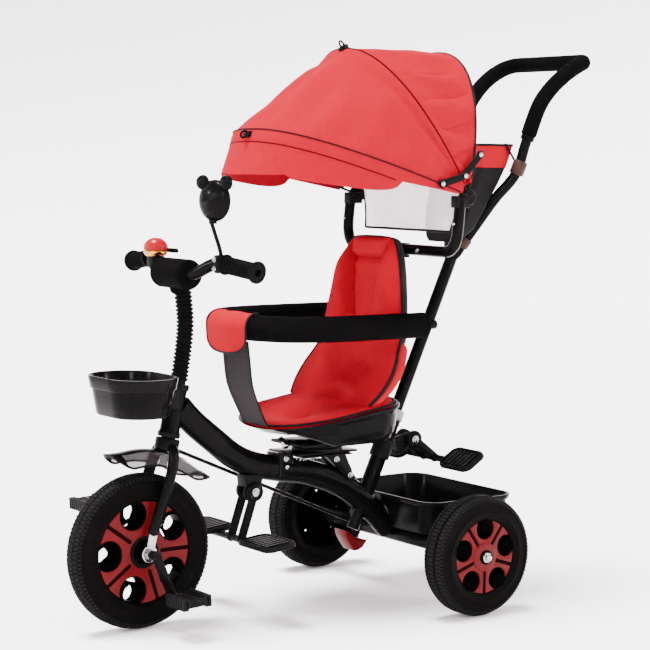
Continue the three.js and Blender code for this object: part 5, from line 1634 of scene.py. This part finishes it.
bag_low = bag_between(618, 752, 30)
pouch = loft(bag_low, caps=False)
pouch = (pouch[0], pouch[1] + [tuple(reversed(range(len(bag_low[0]))))])
bag_black = piece("handle_bag_pouch", pouch, black_cloth, thick=1.6, smooth=60)
on(bag_black, "handle", "storage_bag")
bag_red = piece("handle_bag_band", loft(bag_between(750, 789, 10), caps=False), red_seat, thick=2.0,
                smooth=60)
on(bag_red, "handle")
mouth = bag_between(788, 790, 1)[1]
bag_rim = on(piece("handle_bag_binding", tube(mouth + mouth[:2], 2.4, 10, caps=False), piping), "handle")
for part, low, high in ((bag_black, 618, 752), (bag_red, 750, 789)):
    around = max(run_length(ring_here + ring_here[:1]) for ring_here in bag_between(low, high, 8))
    CUTS[part.name] = (around, (high - low) * 1.16 * MM)
bag_straps = weld(*[tube([at(62 * s, 172, 784), at(70 * s, 186, 792), at(79 * s, 202, 760),
                          at(74 * s, 196, 742)], 2.2, 10) for s in (1, -1)])
on(piece("handle_bag_straps", bag_straps, piping), "handle")

link_front, link_rear = on_head(-28, 16, -16), on_pole(-28, 16, 14)
link = weld(rod(link_front, link_rear, 3.2, 16),
            *[turned([(0, -6), (5, -6), (6.4, -4), (6.4, 4), (5, 6), (0, 6)], p, UP, 24)
                                                   for p in (link_front, link_rear)])
on(piece("steering_link_rod", link, black_paint), "link", "steering_link")
lever_plan = [(-26, 0), (-20, -9), (-6, -19), (8, -27), (18, -22), (24, -15), (28, 0), (16, -3), (0, -5),
              (-14, -1)]
lever_rows = []
for x in (-17, -15, 15, 17):
    tight = 0.92 if abs(x) == 17 else 1.0
    lever_rows.append([on_pole(x, 1 + (y - 1) * tight, -9 - 12 + (z + 12) * tight) for y, z in lever_plan])
on(piece("clutch_pedal_lever", loft(lever_rows), red_plastic, bevel=1.2), "clutch", "clutch_lever")

# ---------------------------------------------------------------- footrests
def footrest(label, hinge_y, hinge_z, down, back, reach, tread_x, width, depth, tilt, body, node):
    foot_y, foot_z = hinge_y + back, hinge_z - down
    arms = pairs(lambda s: slab(capsule(hinge_y, hinge_z, foot_y, foot_z, 8), 4, on_side(15.5 * s - 2)))
    hubs = pairs(lambda s: turned([(0, 13.4), (15, 13.4), (16, 14.4), (16, 18), (14, 19.6), (0, 19.6)],
                                  at(0, hinge_y, hinge_z), LEFT * s, 40))
    rest = weld(arms, hubs, rod(at(-reach, foot_y, foot_z), at(reach, foot_y, foot_z), 6, 24))
    on(piece(label + "_footrest_arms", rest, black_plastic, bevel=1), body, node)
    caps = pairs(lambda s: hexed(at(19.4 * s, hinge_y, hinge_z), LEFT * s, 5.4, 4))
    on(piece(label + "_footrest_bolts", caps, steel, bevel=0.3), body)
    lean = Matrix.Rotation(tilt, 4, "X")
    for side, s in (("left", 1), ("right", -1)):
        seat_at = Matrix.Translation(at(tread_x * s, foot_y, foot_z + 3)) @ lean
        plate = slab(rounded(width, depth, 15, 8), 6, seat_at)
        tread = piece(label + "_" + side + "_tread_plate", plate, black_plastic, bevel=1.6)
        on(tread, body)
        rim_path = [seat_at @ Vector((x * MM, y * MM, 6.4 * MM)) for x,
                    y in rounded(width - 5, depth - 5, 13, 8)]
        on(piece(label + "_" + side + "_tread_rim", tube(rim_path + rim_path[:2], 2.2, 10, caps=False),
                 black_plastic), body)
        bar_shape = block(Vector((0, 0, 0)), (5, depth - 16, 3.2), lean.to_3x3())
        count = int((width - 20) // 10)
        first = seat_at @ Vector((-(count - 1) * 5 * MM, 0, 7 * MM))
        bars = by_nodes(label + "_" + side + "_tread_bars", bar_shape, repeat_copies, black_plastic,
                        Count=count, Centre=first,
                        Step=Vector((10 * MM, 0, 0)))
        on(bars, body)


footrest("front", -306, 205, 78, -26, 112, 92, 96, 62, 0.1, "front_footrest_body", "front_footrest")
footrest("rear", 33, 268, 36, 48, 112, 92, 82, 54, 0.55, "rear_footrest_body", "rear_footrest")
